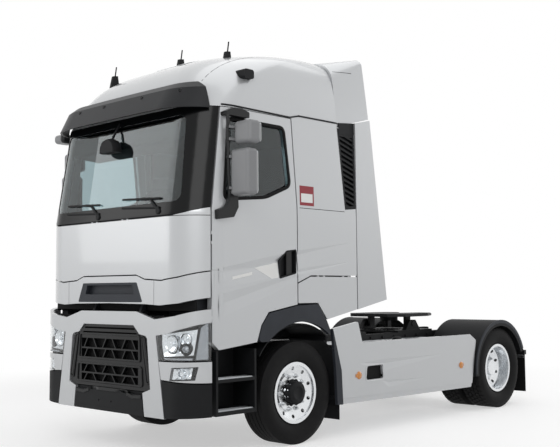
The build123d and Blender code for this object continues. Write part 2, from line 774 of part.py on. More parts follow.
def front_beam():
    """The curved underrun beam behind the bumper, on the horns of the rails."""
    beam = bumper_skin(60 + FIT, 150) & block(1000, 1600, -BEAM_HALF, BEAM_HALF, 480, 590)
    return beam + block(RAIL_FRONT, 1330, -RAIL_Y, RAIL_Y, 500, 580)


def bumper_frame():
    """The bright upper bar with two upright tusks, and the fog lamp panels outside them."""
    skin = bumper_skin(0, BUMPER_T - FIT)
    lamp_top = [(y, z + FIT) for y, z in LAMP_TOP]
    bar = band(MOUSTACHE_TOP, MOUSTACHE_LOW + lamp_top, 1000, 1600)
    tusk = front_prism(FANG, 1000, 1600)
    frame = skin & (bar + tusk + mirror(tusk, about=Plane.XZ))
    fog = front_prism(FOG_OUTLINE, 1000, 1600) - front_prism(FOG_LENS, 1000, 1600)
    return group(frame, both_sides(skin & fog))


def bumper_skirt():
    """The dark lower edge of the bumper, one piece that runs behind the tusks."""
    skin = bumper_skin(0, 60)
    middle = band(SKIRT_TOP, [(0, 372), (560, 372)], 1000, 1600)
    corner = front_prism(CORNER_OUTLINE, 1000, 1600)
    skirt = skin & (middle + corner + mirror(corner, about=Plane.XZ))
    skirt += bumper_skin(BUMPER_T, 60) & block(1000, 1600, -EDGE, EDGE, 480, 590)
    for y in (-140, 60):
        skirt -= rod((1300, y, 470), (1600, y, 470), 8)
    return skirt


def lamp_housings():
    """The pods behind the head and fog lamps, open at the front."""
    pod = bumper_skin(BUMPER_T, 130) & front_prism(
        [(700, 1140), (900, 1166), (1110, 1220), (EDGE, 1280), (EDGE, 716), (800, 730)], 1000, 1600
    )
    pod -= bumper_skin(0, 100) & front_prism(LAMP_OUTLINE, 1000, 1600)
    pod -= bumper_skin(0, 90) & front_prism(FOG_LENS, 1000, 1600)
    return both_sides(pod)


def lamp_lenses():
    """Clear covers of the head lamps and fog lamps."""
    head = bumper_skin(4, 4 + LENS_T) & front_prism(LAMP_OUTLINE, 1000, 1600)
    fog = bumper_skin(6, 6 + LENS_T) & front_prism(FOG_LENS, 1000, 1600)
    return both_sides(group(head, fog))


def front_grille():
    """Two lattice bands of humped bars in a dark panel, with an air slot above."""
    panel = bumper_skin(14, 52) & band(
        [(0, 1208), (402, 1208), (488, 1122), (586, 1106)], [(0, 600), (646, 600)], 1000, 1600
    )
    panel -= bumper_skin(0, 60) & (
        front_prism(FANG, 1000, 1600) + mirror(front_prism(FANG, 1000, 1600), about=Plane.XZ)
    )
    pitch = 2 * GRILLE_HALF / GRILLE_HUMPS
    t = GRILLE_BAR / 2
    for low, high in GRILLE_ROWS:
        for index in range(2 * GRILLE_HUMPS + 1):
            y = -GRILLE_HALF + pitch * index / 2
            wide, narrow = 0.34 * pitch - t, 0.16 * pitch - t
            foot, head = (wide, narrow) if index % 2 else (narrow, wide)
            cell = [(y - foot, low + t), (y + foot, low + t), (y + head, high - t), (y - head, high - t)]
            slot = front_prism(cell, 1000, 1600)
            panel -= slot & block(1000, 1600, t - GRILLE_HALF, GRILLE_HALF - t, low, high)
    panel -= front_prism([(-400, 1180), (400, 1180), (450, 1112), (-450, 1112)], 1000, 1600, 10)
    return panel


def entry_steps():
    """A box of two steps below each door."""
    inner = CAB_HALF - 335
    well = block(628, 1140, inner, CAB_HALF - 13, 392, 980)
    well -= block(652, 1116, inner + 30, EDGE, 430, 690)
    well -= block(652, 1116, inner + 30, EDGE, 720, 1000)
    well += block(700, 1060, RAIL_Y + FIT, inner + 5, 760, 820)
    return both_sides(well)


def cab_floor():
    """Floor, front wall, door posts and tilt lugs of the cab, with the door hinge pins."""
    wide = CAB_HALF - 120
    narrow = CAB_HALF - 195
    floor = block(CAB_REAR + 50, 1300, -narrow, narrow, FLOOR_Z, FLOOR_Z + FLOOR_T)
    floor += block(CAB_REAR + 50, 1160, -wide, wide, FLOOR_Z, FLOOR_Z + FLOOR_T)
    front = block(1250, 1300, -narrow, narrow, FLOOR_Z, BELT_Z - FIT)
    inner_low, _ = cab_envelope(FRONT_WALL + 5)
    cowl = inner_low & block(DOOR_FRONT + SEAM, 1500, -EDGE, EDGE, BELT_Z - 60, BELT_Z - FIT)
    body = floor + front + cowl
    for side in SIDES:
        post = side * (narrow + 2)
        body += block(1120, 1260, post - 53, post + 53, 1250, BELT_Z - 20)
        sill = side * (wide + 30)
        body += block(CAB_REAR + 50, DOOR_REAR - 30, sill - 30, sill + 30, FLOOR_Z, LID_TOP + 120)
        lug = [(1190, FLOOR_Z + 5), (1270, FLOOR_Z + 5), (1362, PIVOT_Z + 24), (1298, PIVOT_Z - 24)]
        y = side * (RAIL_Y - 45)
        body += side_prism(lug, y - 16, y + 16)
        body += rod((PIVOT_X, y - 16, PIVOT_Z), (PIVOT_X, y + 16, PIVOT_Z), 44)
        body -= rod((PIVOT_X, y - 40, PIVOT_Z), (PIVOT_X, y + 40, PIVOT_Z), 20 + FIT)
        for z in DOOR_HINGE_Z:
            reach = sorted((side * (narrow + 40), side * DOOR_HINGE_Y))
            body += block(DOOR_HINGE_X, DOOR_HINGE_X + 4, *reach, z - 30, z + 30)
            body += Pos(DOOR_HINGE_X, side * DOOR_HINGE_Y, z) * Cylinder(DOOR_HINGE_R, 124)
        for x in LID_HINGE_X:
            reach = sorted((side * (wide + 35), side * LID_HINGE_Y))
            body += block(x - 30, x + 30, *reach, LID_TOP + 5, LID_TOP + 9)
            pin_y = side * LID_HINGE_Y
            body += rod((x - 62, pin_y, LID_TOP + 6), (x + 62, pin_y, LID_TOP + 6), 3)
        pin_y = side * 250
        body += block(CAB_FRONT - 60, CAB_FRONT - 4, pin_y - 20, pin_y + 20, FLAP_TOP + 4, FLAP_TOP + 8)
        body += rod((CAB_FRONT - 4, pin_y - 52, FLAP_TOP + 6), (CAB_FRONT - 4, pin_y + 52, FLAP_TOP + 6), 3)
    return body


def cab_side_panels():
    """The fixed side walls behind the doors."""
    low, up = cab_skin(WALL)
    shape = side_prism(SIDE_OUTLINE, 900, EDGE) - side_prism(VENT_OUTLINE, 900, EDGE)
    panel = low & shape
    for line in (UPPER_CREASE, WALL_CREASE):
        panel -= crease(line)
    return both_sides(panel + (up & shape))


def intake_vents():
    """Louvred air intakes let into the upper rear of the side walls."""
    _, up = cab_skin(WALL)
    vent = up & side_prism(VENT_OUTLINE, 900, EDGE)
    opening = side_prism(VENT_OPENING, CAB_HALF - 50, EDGE)
    step = (EAVE_Z - 2500) / VENT_SLATS
    for index in range(VENT_SLATS + 1):
        z = 2430 + index * step
        slot = [(-560, z + 50), (-900, z - 50), (-900, z - 50 + 0.6 * step), (-560, z + 50 + 0.6 * step)]
        vent -= side_prism(slot, CAB_HALF - 50, EDGE) & opening
    return both_sides(vent)


def cab_rear_wall():
    """The rear wall and the shelf under the roof fairing."""
    half = CAB_HALF - 85
    wall = block(CAB_REAR, CAB_REAR + 50, -half, half, FLOOR_Z - 50, EAVE_Z - FIT)
    return wall + block(CAB_REAR, ROOF_REAR + ROOF_T, -half, half, EAVE_Z - 50, EAVE_Z - FIT)


def roof_form(inset, drop):
    """The roof's outer form, drawn in by a thickness and lowered by a height."""
    sections = []
    rise = ROOF_SECTIONS[-1][0] - EAVE_Z
    for z, front_x, half_w, corner_r, crown in ROOF_SECTIONS:
        level = EAVE_Z + (z - EAVE_Z) * (rise - drop) / rise
        sections.append(plan_outline(front_x - inset, -1400, half_w - inset, corner_r - inset, crown, level))
    return loft(sections)


def roof_shell():
    """The high roof, hollow, with an upright rear wall."""
    top = EAVE_Z + 1000
    outer = roof_form(0, 0) & block(ROOF_REAR, 1500, -EDGE, EDGE, EAVE_Z, top)
    inner = roof_form(ROOF_T, ROOF_T) & block(ROOF_REAR + ROOF_T, 1500, -EDGE, EDGE, EAVE_Z - 10, top)
    return outer - inner


def arch_section(x, half_w, top_half, top, corner_r):
    """A front-view section of the roof fairing, narrower at its top."""
    low = EAVE_Z - 250
    face = outline([(-half_w, low), (half_w, low), (top_half, top), (-top_half, top)])
    tops = face.vertices().group_by(Axis.Y)[-1]
    return Pos(x, 0, 0) * (Plane.YZ * fillet(tops, corner_r))


def roof_fairing():
    """The hood behind the roof that leads the air over a trailer."""
    rear_x = -1160
    front_x = ROOF_REAR - 8
    skins = []
    for t in (0, 30):
        rear = arch_section(rear_x, EAVE_HALF - t, EAVE_HALF - 16 - t, EAVE_Z + 844 - t, 50 - t)
        front = arch_section(front_x, EAVE_HALF + 16 - t, EAVE_HALF - 82 - t, EAVE_Z + 742 - t, 270 - t)
        skins.append(loft([rear, front], ruled=True))
    keep = [(front_x, EAVE_Z + 8), (-1150, EAVE_Z + 155), (-1046, EAVE_Z + 900), (front_x, EAVE_Z + 900)]
    hood = (skins[0] - skins[1]) & side_prism(keep, -EDGE, EDGE)
    for side in SIDES:
        y = side * (CAB_HALF - 80)
        hood += block(CAB_REAR + 10, CAB_REAR + 60, y - 45, y + 45, EAVE_Z, EAVE_Z + 90)
    return hood


def side_fairings():
    """The plates that close the gap behind the cab, on two struts each."""
    inner = CAB_HALF - SKIRT_T
    plate = side_prism(LOWER_FAIRING, inner, CAB_HALF)
    for z in (1700, EAVE_Z - 250):
        plate += block(-1000, CAB_REAR - FIT, inner - 106, inner - 66, z, z + 40)
        plate += block(-1000, -960, inner - 106, inner + 9, z, z + 40)
    return both_sides(plate)


def windscreen_opening(grow):
    """The front-view outline of the glass."""
    wide = CAB_HALF - 225 + grow
    half = [(wide, 2350 - grow), (wide - 50, EAVE_Z - 80 + grow)]
    return half + [(-y, z) for y, z in reversed(half)]


def windscreen():
    """The curved screen."""
    _, outer = cab_envelope(6)
    _, inner = cab_envelope(14)
    return (outer - inner) & front_prism(windscreen_opening(-FIT), 1100, 1600, 70)


def windscreen_frame():
    """The dark screen surround: cowl, pillars and header."""
    _, up = cab_skin(WALL)
    ahead = side_prism(
        [
            (DOOR_FRONT + SEAM, BELT_Z),
            (1700, BELT_Z),
            (1700, EAVE_Z - FIT),
            (1044 + SEAM, EAVE_Z - FIT),
            (DOOR_FRONT + SEAM, 2270),
        ],
        -EDGE,
        EDGE,
    )
    low, _ = cab_skin(FRONT_WALL)
    frame = (up & ahead) - front_prism(windscreen_opening(0), 1100, 1600, 70)
    frame += low & block(DOOR_FRONT + SEAM, 1600, -EDGE, EDGE, FLAP_TOP + COWL_GAP, BELT_Z)
    for foot in pillar_feet():
        frame -= foot
    return frame


def pillar_feet():
    """Front-view prisms of the bright corners at the foot of each screen pillar."""
    foot = front_prism(PILLAR_FOOT, DOOR_FRONT, 1600)
    return foot, mirror(foot, about=Plane.XZ)


def front_flap():
    """The service flap below the screen, wrapped round to the door seams."""
    low, _ = cab_skin(FRONT_WALL)
    shape = band([(0, FLAP_TOP), (EDGE, FLAP_TOP)], FLAP_LOW, DOOR_FRONT + SEAM, 1600)
    flap = low & shape
    axis_z = FLAP_TOP + 6
    for y in (-290, -210, 210, 290):
        eye = block(CAB_FRONT - 26, CAB_FRONT - 4, y - 12, y + 12, FLAP_TOP - 20, axis_z - 1)
        eye += rod((CAB_FRONT - 4, y - 12, axis_z), (CAB_FRONT - 4, y + 12, axis_z), HINGE_EYE_R - 0.5)
        flap += eye - rod((CAB_FRONT - 4, y - 20, axis_z), (CAB_FRONT - 4, y + 20, axis_z), 3 + FIT)
    return flap


def cab_lower_front():
    """The bright strip under the flap, on stays, and the corners at the foot of the screen pillars."""
    low, _ = cab_skin(FRONT_WALL)
    strip = low & band(STRIP_TOP, STRIP_LOW, DOOR_FRONT + SEAM, 1600)
    hole = [(-440, 1612), (440, 1612), (528, 1424), (-528, 1424)]
    strip -= front_prism(hole, 1100, 1600, 12)
    for side in SIDES:
        strip -= block(1100, 1600, side * 698 - 3, side * 698 + 3, 1300, 1800)
        for y in (620, 880):
            strip += block(1300 + FIT, 1412, side * y - 20, side * y + 20, 1530, 1580)
    _, up = cab_skin(FRONT_WALL)
    ahead = block(DOOR_FRONT + SEAM, 1700, -EDGE, EDGE, FLAP_TOP, EAVE_Z)
    corners = [(low & ahead & foot) + (up & ahead & foot) for foot in pillar_feet()]
    return group(strip, *corners)


def cab_intake():
    """The dark intake in the middle of the strip."""
    low, _ = cab_skin(70)
    hole = [(-440 + FIT, 1612), (440 - FIT, 1612), (528 - FIT, 1424), (-528 + FIT, 1424)]
    body = low & front_prism(hole, 1100, 1600, 12)
    body -= front_prism([(-370, 1590), (370, 1590), (400, 1500), (-400, 1500)], 1390, 1600, 10)
    return body


def door(side):
    """A door as thick as its wall, with its window cut and two hinge eyes."""
    low, up = cab_skin(WALL)
    shape = side_prism(DOOR_OUTLINE, 900, EDGE)
    panel = low & shape
    for line in (UPPER_CREASE, LOWER_CREASE):
        panel -= crease(line)
    panel += up & shape
    panel -= side_prism(DOOR_WINDOW, 900, EDGE, 45)
    pocket = side_prism(HANDLE_POCKET, CAB_HALF - HANDLE_DEPTH, EDGE, 12)
    bar = block(*HANDLE_BAR, CAB_HALF - 24, CAB_HALF - 8, 1500, 2000) & pocket
    panel -= pocket - bar
    for z in DOOR_HINGE_Z:
        for level in (z - 46, z + 46):
            leaf_y = (DOOR_HINGE_Y - 6, DOOR_HINGE_Y)
            eye = block(DOOR_FRONT - 10, DOOR_HINGE_X, *leaf_y, level - 14, level + 14)
            eye += Pos(DOOR_HINGE_X, DOOR_HINGE_Y, level) * Cylinder(HINGE_EYE_R, 28)
            panel += eye
            panel -= Pos(DOOR_HINGE_X, DOOR_HINGE_Y, level) * Cylinder(DOOR_HINGE_R + FIT, 36)
    return panel if side > 0 else mirror(panel, about=Plane.XZ)


def door_glass(side):
    """The side window."""
    _, outer = cab_envelope(20)
    _, inner = cab_envelope(26)
    opening = offset(outline(DOOR_WINDOW, 45), -FIT)
    pane = (outer - inner) & extrude(Pos(0, 900, 0) * (Plane.XZ * opening), EDGE - 900, dir=(0, 1, 0))
    return pane if side > 0 else mirror(pane, about=Plane.XZ)


def mirror_pair(side):
    """Two mirror housings on an upright arm from the door, and a kerb mirror on the right."""
    wall = CAB_HALF
    top_z = EAVE_Z - 70
    foot = side_prism(MIRROR_FOOT, wall - 45, wall + 48, 14)
    arm = rod((1010, wall + 32, 2390), (1032, wall + 32, top_z - 10), 16)
    ear = side_prism(MIRROR_EAR, wall - 55, wall + 48, 12)
    low_case = fillet(block(880, 1022, wall + 50, wall + 290, 2400, 2830).edges(), 38)
    high_case = fillet(block(838, 990, wall + 60, wall + 290, 2880, top_z - 84).edges(), 42)
    pair = foot + arm + ear + low_case + high_case
    for z in (2470, 2760, 2925, 3040):
        pair += block(930, 1042, wall + 20, wall + 74, z - 12, z + 12)
    if side < 0:
        kerb = fillet(block(985, 1175, wall + 15, wall + 205, top_z, top_z + 100).edges(), 40)
        pair += kerb + block(1000, 1055, wall + 20, wall + 65, top_z - 20, top_z + 60)
    outer_low, outer_up = cab_envelope(-FIT)
    pair = pair - outer_low - outer_up
    keep = pair.solids().sort_by(SortBy.VOLUME)[-1]
    return keep if side > 0 else mirror(keep, about=Plane.XZ)


def locker_lid(side):
    """The lid of the side locker behind the wheel arch."""
    low, _ = cab_skin(FRONT_WALL)
    panel = low & side_prism(LID_OUTLINE, 900, EDGE)
    axis_z = LID_TOP + 6
    for x in LID_HINGE_X:
        for place in (x - 46, x + 46):
            eye = block(place - 14, place + 14, LID_HINGE_Y - 8, LID_HINGE_Y, LID_TOP - 20, axis_z)
            eye += rod((place - 14, LID_HINGE_Y, axis_z), (place + 14, LID_HINGE_Y, axis_z), HINGE_EYE_R)
            panel += eye
            panel -= rod((place - 18, LID_HINGE_Y, axis_z), (place + 18, LID_HINGE_Y, axis_z), 3 + FIT)
    return panel if side > 0 else mirror(panel, about=Plane.XZ)


def cab_wheel_arches():
    """Dark trims over the front wheels, hung from the sill."""
    trim = side_prism(ARCH_OUTLINE, CAB_HALF - 45, CAB_HALF, 45)
    trim -= rod((0, CAB_HALF - 100, AXLE_Z), (0, EDGE, AXLE_Z), ARCH_R)
    trim += block(-320, 380, CAB_HALF - 150, CAB_HALF - 70, 1240, FLOOR_Z)
    trim += block(-200, 380, CAB_HALF - 75, CAB_HALF - 40, 1240, 1300)
    return both_sides(trim)


def sun_visor():
    """The curved visor above the screen, on four stays."""
    outer = []
    inner = []
    for z, front_x, half_w, corner_r in VISOR_SECTIONS:
        outer.append(plan_outline(front_x, 500, half_w, corner_r, 25, z))
        inner.append(plan_outline(front_x - VISOR_T, 500, half_w - VISOR_T, corner_r - VISOR_T, 25, z))
    blade = loft(outer, ruled=True) - loft(inner, ruled=True)
    blade = blade & block(1165, 1600, -EDGE, EDGE, EAVE_Z - 50, EAVE_Z + 270)
    level = EAVE_Z + 150
    stays = [block(1120, 1345, y - 20, y + 20, level - 15, level + 15) for y in (-700, -250, 250, 700)]
    for stay in stays:
        blade += stay
    return blade - roof_form(0, 0)


def dashboard():
    """The instrument panel across the front wall."""
    back = 1250 - FIT
    shape = [(back, 1850), (back, 2184), (1180, 2184), (1120, 2236), (900, 2180), (860, 2040), (1000, 1850)]
    half = CAB_HALF - 255
    return side_prism(shape, -half, half, 20)


def steering_wheel():
    """The wheel and its column, on the driver's side."""
    tilt = Pos(790, 600, 2330) * Rot(0, -40, 0)
    ring = tilt * Torus(225, 16)
    hub_part = tilt * Cylinder(60, 40)
    spokes = tilt * Box(30, 440, 16) + tilt * Pos(-110, 0, 0) * Box(220, 30, 16)
    column = tilt * Pos(0, 0, -160) * Cylinder(30, 320)
    return (ring + hub_part + spokes + column) - dashboard()


def seats():
    """Two seats on their pedestals."""
    seat = block(340, 860, 380, 860, 1900, 2030)
    seat += side_prism([(340, 1920), (460, 1920), (330, 2720), (230, 2720)], 400, 840)
    seat += block(430, 780, 440, 800, FLOOR_Z + FLOOR_T, 1910)
    return both_sides(seat)


def bunk():
    """The bed behind the seats, on its box."""
    half = CAB_HALF - 155
    return block(CAB_REAR + 50 + FIT, -130, -half, half, FLOOR_Z + FLOOR_T, 2060)


def wipers():
    """Two wiper arms parked along the foot of the screen."""
    arms = []
    for y in (-190, 757):
        arm = rod((1436, y, 2300), (1432, y - 560, 2330), 9)
        arms.append(arm + rod((1380, y, 2300), (1446, y, 2300), 14))
    _, outer_up = cab_envelope(-FIT)
    return group(*[(arm - outer_up).solids().sort_by(SortBy.VOLUME)[-1] for arm in arms])


def front_mirror():
    """The domed mirror hung in front of the screen from its header."""
    dome = Pos(1400, -40, EAVE_Z - 330) * (Sphere(125) & block(-45, 60, -130, 130, -20, 130))
    arm = rod((1395, -40, EAVE_Z - 230), (1290, -40, EAVE_Z - 40), 12)
    _, outer_up = cab_envelope(-FIT)
    return dome + (arm - outer_up)


def roof_antennas():
    """Three fins with whips, and a marker pod on each roof cheek."""
    pieces = []
    form = roof_form(0, 0)
    for x, y, top in ((845, -760, 560), (540, 0, 665), (570, 760, 600)):
        z = EAVE_Z + top
        shape = [(x - 90, z - 220), (x + 90, z - 220), (x + 20, z + 80), (x - 40, z + 90)]
        fin = side_prism(shape, y - 16, y + 16)
        fin += rod((x - 10, y, z + 60), (x - 30, y, z + 190), 7)
        pieces.append((fin - form).solids().sort_by(Axis.Z)[-1])
    pod = block(640, 770, 900, EAVE_HALF + 10, EAVE_Z + 310, EAVE_Z + 400)
    pod = fillet(pod.edges().filter_by(Axis.Y), 25)
    pods = (pod - form).solids().sort_by(Axis.Y)[-1]
    return group(*pieces, both_sides(pods))


def node_shapes():
    """Every piece of the vehicle by name."""
    shapes = {
        "frame_rails": frame_rails(),
        "frame_crossmembers": frame_crossmembers(),
        "front_axle": group(front_axle_beam(), front_leaf_springs()),
        "rear_axle": group(rear_axle_housing(), rear_spring_carriers()),
        "rear_air_bellows": rear_air_bellows(),
        "powertrain": group(powertrain_block(), propshaft()),
        "radiator_pack": radiator_pack(),
        "tanks_and_boxes": group(fuel_tanks(), chassis_boxes()),
        "side_skirts": side_skirts(),
        "frame_decks": group(catwalk_deck(), fifth_wheel_mount()),
        "fifth_wheel_plate": group(fifth_wheel_plate(), kingpin_jaw()),
        "mudguards": group(rear_mudguards(), front_mudguards()),
        "rear_mudflaps": rear_mudflaps(),
        "tail_beam": tail_beam(),
        "marker_lamps": group(tail_lamps(), side_markers()),
        "front_beam": front_beam(),
        "bumper_frame": bumper_frame(),
        "bumper_skirt": bumper_skirt(),
        "lamp_housings": lamp_housings(),
        "lamp_lenses": lamp_lenses(),
        "front_grille": front_grille(),
        "entry_steps": entry_steps(),
        "knuckle_left": knuckle(),
        "knuckle_right": mirror(knuckle(), about=Plane.XZ),
        "tie_rod": tie_rod(),
        "cab_floor": cab_floor(),
        "cab_side_panels": cab_side_panels(),
        "intake_vents": intake_vents(),
        "cab_rear_wall": cab_rear_wall(),
        "roof_shell": roof_shell(),
        "air_fairings": group(roof_fairing(), side_fairings()),
        "windscreen": windscreen(),
        "windscreen_frame": windscreen_frame(),
        "front_flap": front_flap(),
        "cab_lower_front": cab_lower_front(),
        "cab_intake": cab_intake(),
        "cab_wheel_arches": cab_wheel_arches(),
        "sun_visor": sun_visor(),
        "dashboard": dashboard(),
        "steering_wheel": steering_wheel(),
        "seats": seats(),
        "bunk": bunk(),
        "wipers_and_antennas": group(wipers(), front_mirror(), roof_antennas()),
    }
    for side, name in zip(SIDES, ("left", "right")):
        turn = Rot(0, 0, 0) if side > 0 else Rot(0, 0, 180)
        front = Pos(0, side * FRONT_TYRE_Y, AXLE_Z) * turn
        rear = Pos(-WHEELBASE, side * REAR_TYRE_Y, AXLE_Z) * turn
        shapes["front_tyre_" + name] = front * tyre()
        shapes["front_rim_" + name] = front * front_wheel()
        shapes["rear_tyres_" + name] = rear * group(tyre(), Pos(0, -TWIN_PITCH, 0) * tyre())
        shapes["rear_rims_" + name] = rear * rear_wheel()
        shapes["door_" + name] = door(side)
        shapes["door_glass_" + name] = door_glass(side)
        shapes["door_mirrors_" + name] = mirror_pair(side)
        shapes["locker_lid_" + name] = locker_lid(side)
    return shapes


os.makedirs("parts", exist_ok=True)
for node, shape in node_shapes().items():
    export_step(Pos(SHIFT_X, 0, 0) * shape, "parts/" + node + ".step")
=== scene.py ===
"""Looks of a high-roof road tractor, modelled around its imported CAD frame."""

import logging
import math
from dataclasses import dataclass, field
from enum import Enum
from typing import Optional, Sequence, Union

import bmesh
import bpy
from mathutils import Matrix, Vector
from mathutils.bvhtree import BVHTree


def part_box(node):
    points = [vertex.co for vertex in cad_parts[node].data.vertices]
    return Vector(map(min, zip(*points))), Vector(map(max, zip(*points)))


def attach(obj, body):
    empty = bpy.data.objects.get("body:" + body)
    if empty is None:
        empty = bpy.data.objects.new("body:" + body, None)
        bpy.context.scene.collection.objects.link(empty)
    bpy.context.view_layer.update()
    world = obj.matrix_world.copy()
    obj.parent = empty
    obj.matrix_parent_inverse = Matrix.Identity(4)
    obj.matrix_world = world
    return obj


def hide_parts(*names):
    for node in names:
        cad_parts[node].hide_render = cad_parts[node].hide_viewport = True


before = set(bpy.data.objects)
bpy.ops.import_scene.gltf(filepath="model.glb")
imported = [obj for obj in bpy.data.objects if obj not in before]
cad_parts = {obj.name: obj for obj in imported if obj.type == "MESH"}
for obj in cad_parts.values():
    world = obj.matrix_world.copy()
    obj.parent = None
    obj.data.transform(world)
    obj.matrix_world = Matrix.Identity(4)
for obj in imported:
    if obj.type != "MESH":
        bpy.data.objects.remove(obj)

log = logging.getLogger("tractor")

Flat = tuple[float, float]
Colour = tuple[float, float, float, float]
Step = tuple[Vector, Vector]
Panel = tuple[tuple[Flat, Flat], tuple[Flat, Flat], Flat]

# The CAD frame has its origin under the middle of the vehicle, the drawing its own at the front axle.
AXLE_MM = 1549.0

# Where the lines start that land trim on the skin: ahead of the vehicle, beside it and above it.
AHEAD_MM, BESIDE_MM, ABOVE_MM = 1900.0, 1800.0, 4400.0

# A stuffed pad: faces to an edge, share of its thickness that is a round edge, that swells and that a
# stitched channel takes away, and the channel's width.
PAD_STEPS, PAD_EDGE, PAD_SWELL, PAD_DIP, PAD_SEAM_MM = 22, 0.62, 0.14, 0.1, 9.0


class Side(Enum):
    """The two sides of the vehicle, as the sign of Y."""

    LEFT = 1
    RIGHT = -1

    @property
    def word(self) -> str:
        """The side's name as the bodies spell it."""
        return self.name.lower()


# Local axes of a drawing seen from the front and from above; side_view gives those from a side.
FRONT_VIEW = Matrix(((0, 0, 1, 0), (1, 0, 0, 0), (0, 1, 0, 0), (0, 0, 0, 1)))
PLAN_VIEW = Matrix.Identity(4)


def side_view(side: Side) -> Matrix:
    """Axes of a drawing seen from one side, its depth outwards.

    Args:
        side: The side that is drawn.

    Returns:
        A matrix from (along, up, out) to the vehicle's axes.
    """
    return Matrix(((1, 0, 0, 0), (0, 0, side.value, 0), (0, 1, 0, 0), (0, 0, 0, 1)))


def linear(code: str) -> Colour:
    """Turn an sRGB hex colour to linear light.

    Args:
        code: A colour such as "#C8CACC".

    Returns:
        Red, green, blue and a full alpha.
    """
    channels = [int(code[place:place + 2], 16) / 255 for place in (1, 3, 5)]
    red, green, blue = [c / 12.92 if c <= 0.04045 else ((c + 0.055) / 1.055) ** 2.4 for c in channels]
    return red, green, blue, 1.0


def add_node(
    tree: bpy.types.NodeTree,
    kind: str,
    inputs: Optional[dict[Union[str, int], object]] = None,
    **settings: object,
) -> bpy.types.Node:
    """Add a node with its settings and links.

    Args:
        tree: The node tree that takes it.
        kind: Blender's name of the node type.
        inputs: For each input, a value or the socket that feeds it.
        **settings: Attributes of the node.

    Returns:
        The node.
    """
    made = tree.nodes.new(kind)
    for name, value in settings.items():
        setattr(made, name, value)
    for name, value in (inputs or {}).items():
        if isinstance(value, bpy.types.NodeSocket):
            tree.links.new(value, made.inputs[name])
        else:
            made.inputs[name].default_value = value
    return made


def per_metre(size_mm: float) -> float:
    """The pattern scale, in repeats a metre, of a feature of that size."""
    return 1000.0 / size_mm


@dataclass(frozen=True)
class Pattern:
    """A texture of a real size on the object: Blender's node, its settings and the output that is used."""

    size_mm: float
    detail: Optional[float] = None
    kind: str = "ShaderNodeTexNoise"
    result: str = "Fac"
    settings: tuple[tuple[str, str], ...] = ()

    def scale(self) -> float:
        """The node's scale for this size."""
        return per_metre(self.size_mm)

    def lay(self, tree: bpy.types.NodeTree, place: bpy.types.NodeSocket) -> bpy.types.NodeSocket:
        """Put the pattern on a surface.

        Args:
            tree: The material's nodes.
            place: The point on the object, in metres.

        Returns:
            A socket from 0 to 1.
        """
        inputs = {"Vector": place, "Scale": self.scale()}
        if self.detail is not None:
            inputs["Detail"] = self.detail
        return add_node(tree, self.kind, inputs, **dict(self.settings)).outputs[self.result]


@dataclass(frozen=True)
class Ridges(Pattern):
    """Even ridges at a spacing, running one way."""

    kind: str = "ShaderNodeTexWave"
    settings: tuple[tuple[str, str], ...] = (("bands_direction", "DIAGONAL"),)

    def scale(self) -> float:
        """The node's scale for this spacing, which it counts in radians."""
        return per_metre(self.size_mm) / math.tau


@dataclass(frozen=True)
class Weave(Pattern):
    """Threads that cross at a spacing."""

    def lay(self, tree: bpy.types.NodeTree, place: bpy.types.NodeSocket) -> bpy.types.NodeSocket:
        """Put warp and weft on a surface.

        Args:
            tree: The material's nodes.
            place: The point on the object, in metres.

        Returns:
            A socket from 0 to 1.
        """
        warp = Ridges(self.size_mm, settings=(("bands_direction", "Y"),))
        threads = [way.lay(tree, place) for way in (warp, Ridges(self.size_mm))]
        return add_node(tree, "ShaderNodeMath", dict(enumerate(threads)), operation="MULTIPLY").outputs[0]


@dataclass(frozen=True)
class Stretch(Pattern):
    """A stretch of the object: 1 within size_mm on either side of a middle, 0 beyond."""

    axis: str = "X"
    middle_mm: float = 0.0

    def lay(self, tree: bpy.types.NodeTree, place: bpy.types.NodeSocket) -> bpy.types.NodeSocket:
        """Mark the stretch on a surface.

        Args:
            tree: The material's nodes.
            place: The point on the object, in metres.

        Returns:
            A socket that is 0 or 1.
        """
        along = add_node(tree, "ShaderNodeSeparateXYZ", {"Vector": place}).outputs[self.axis]
        inputs = {0: along, 1: self.middle_mm / 1000, 2: self.size_mm / 1000}
        return add_node(tree, "ShaderNodeMath", inputs, operation="COMPARE").outputs[0]


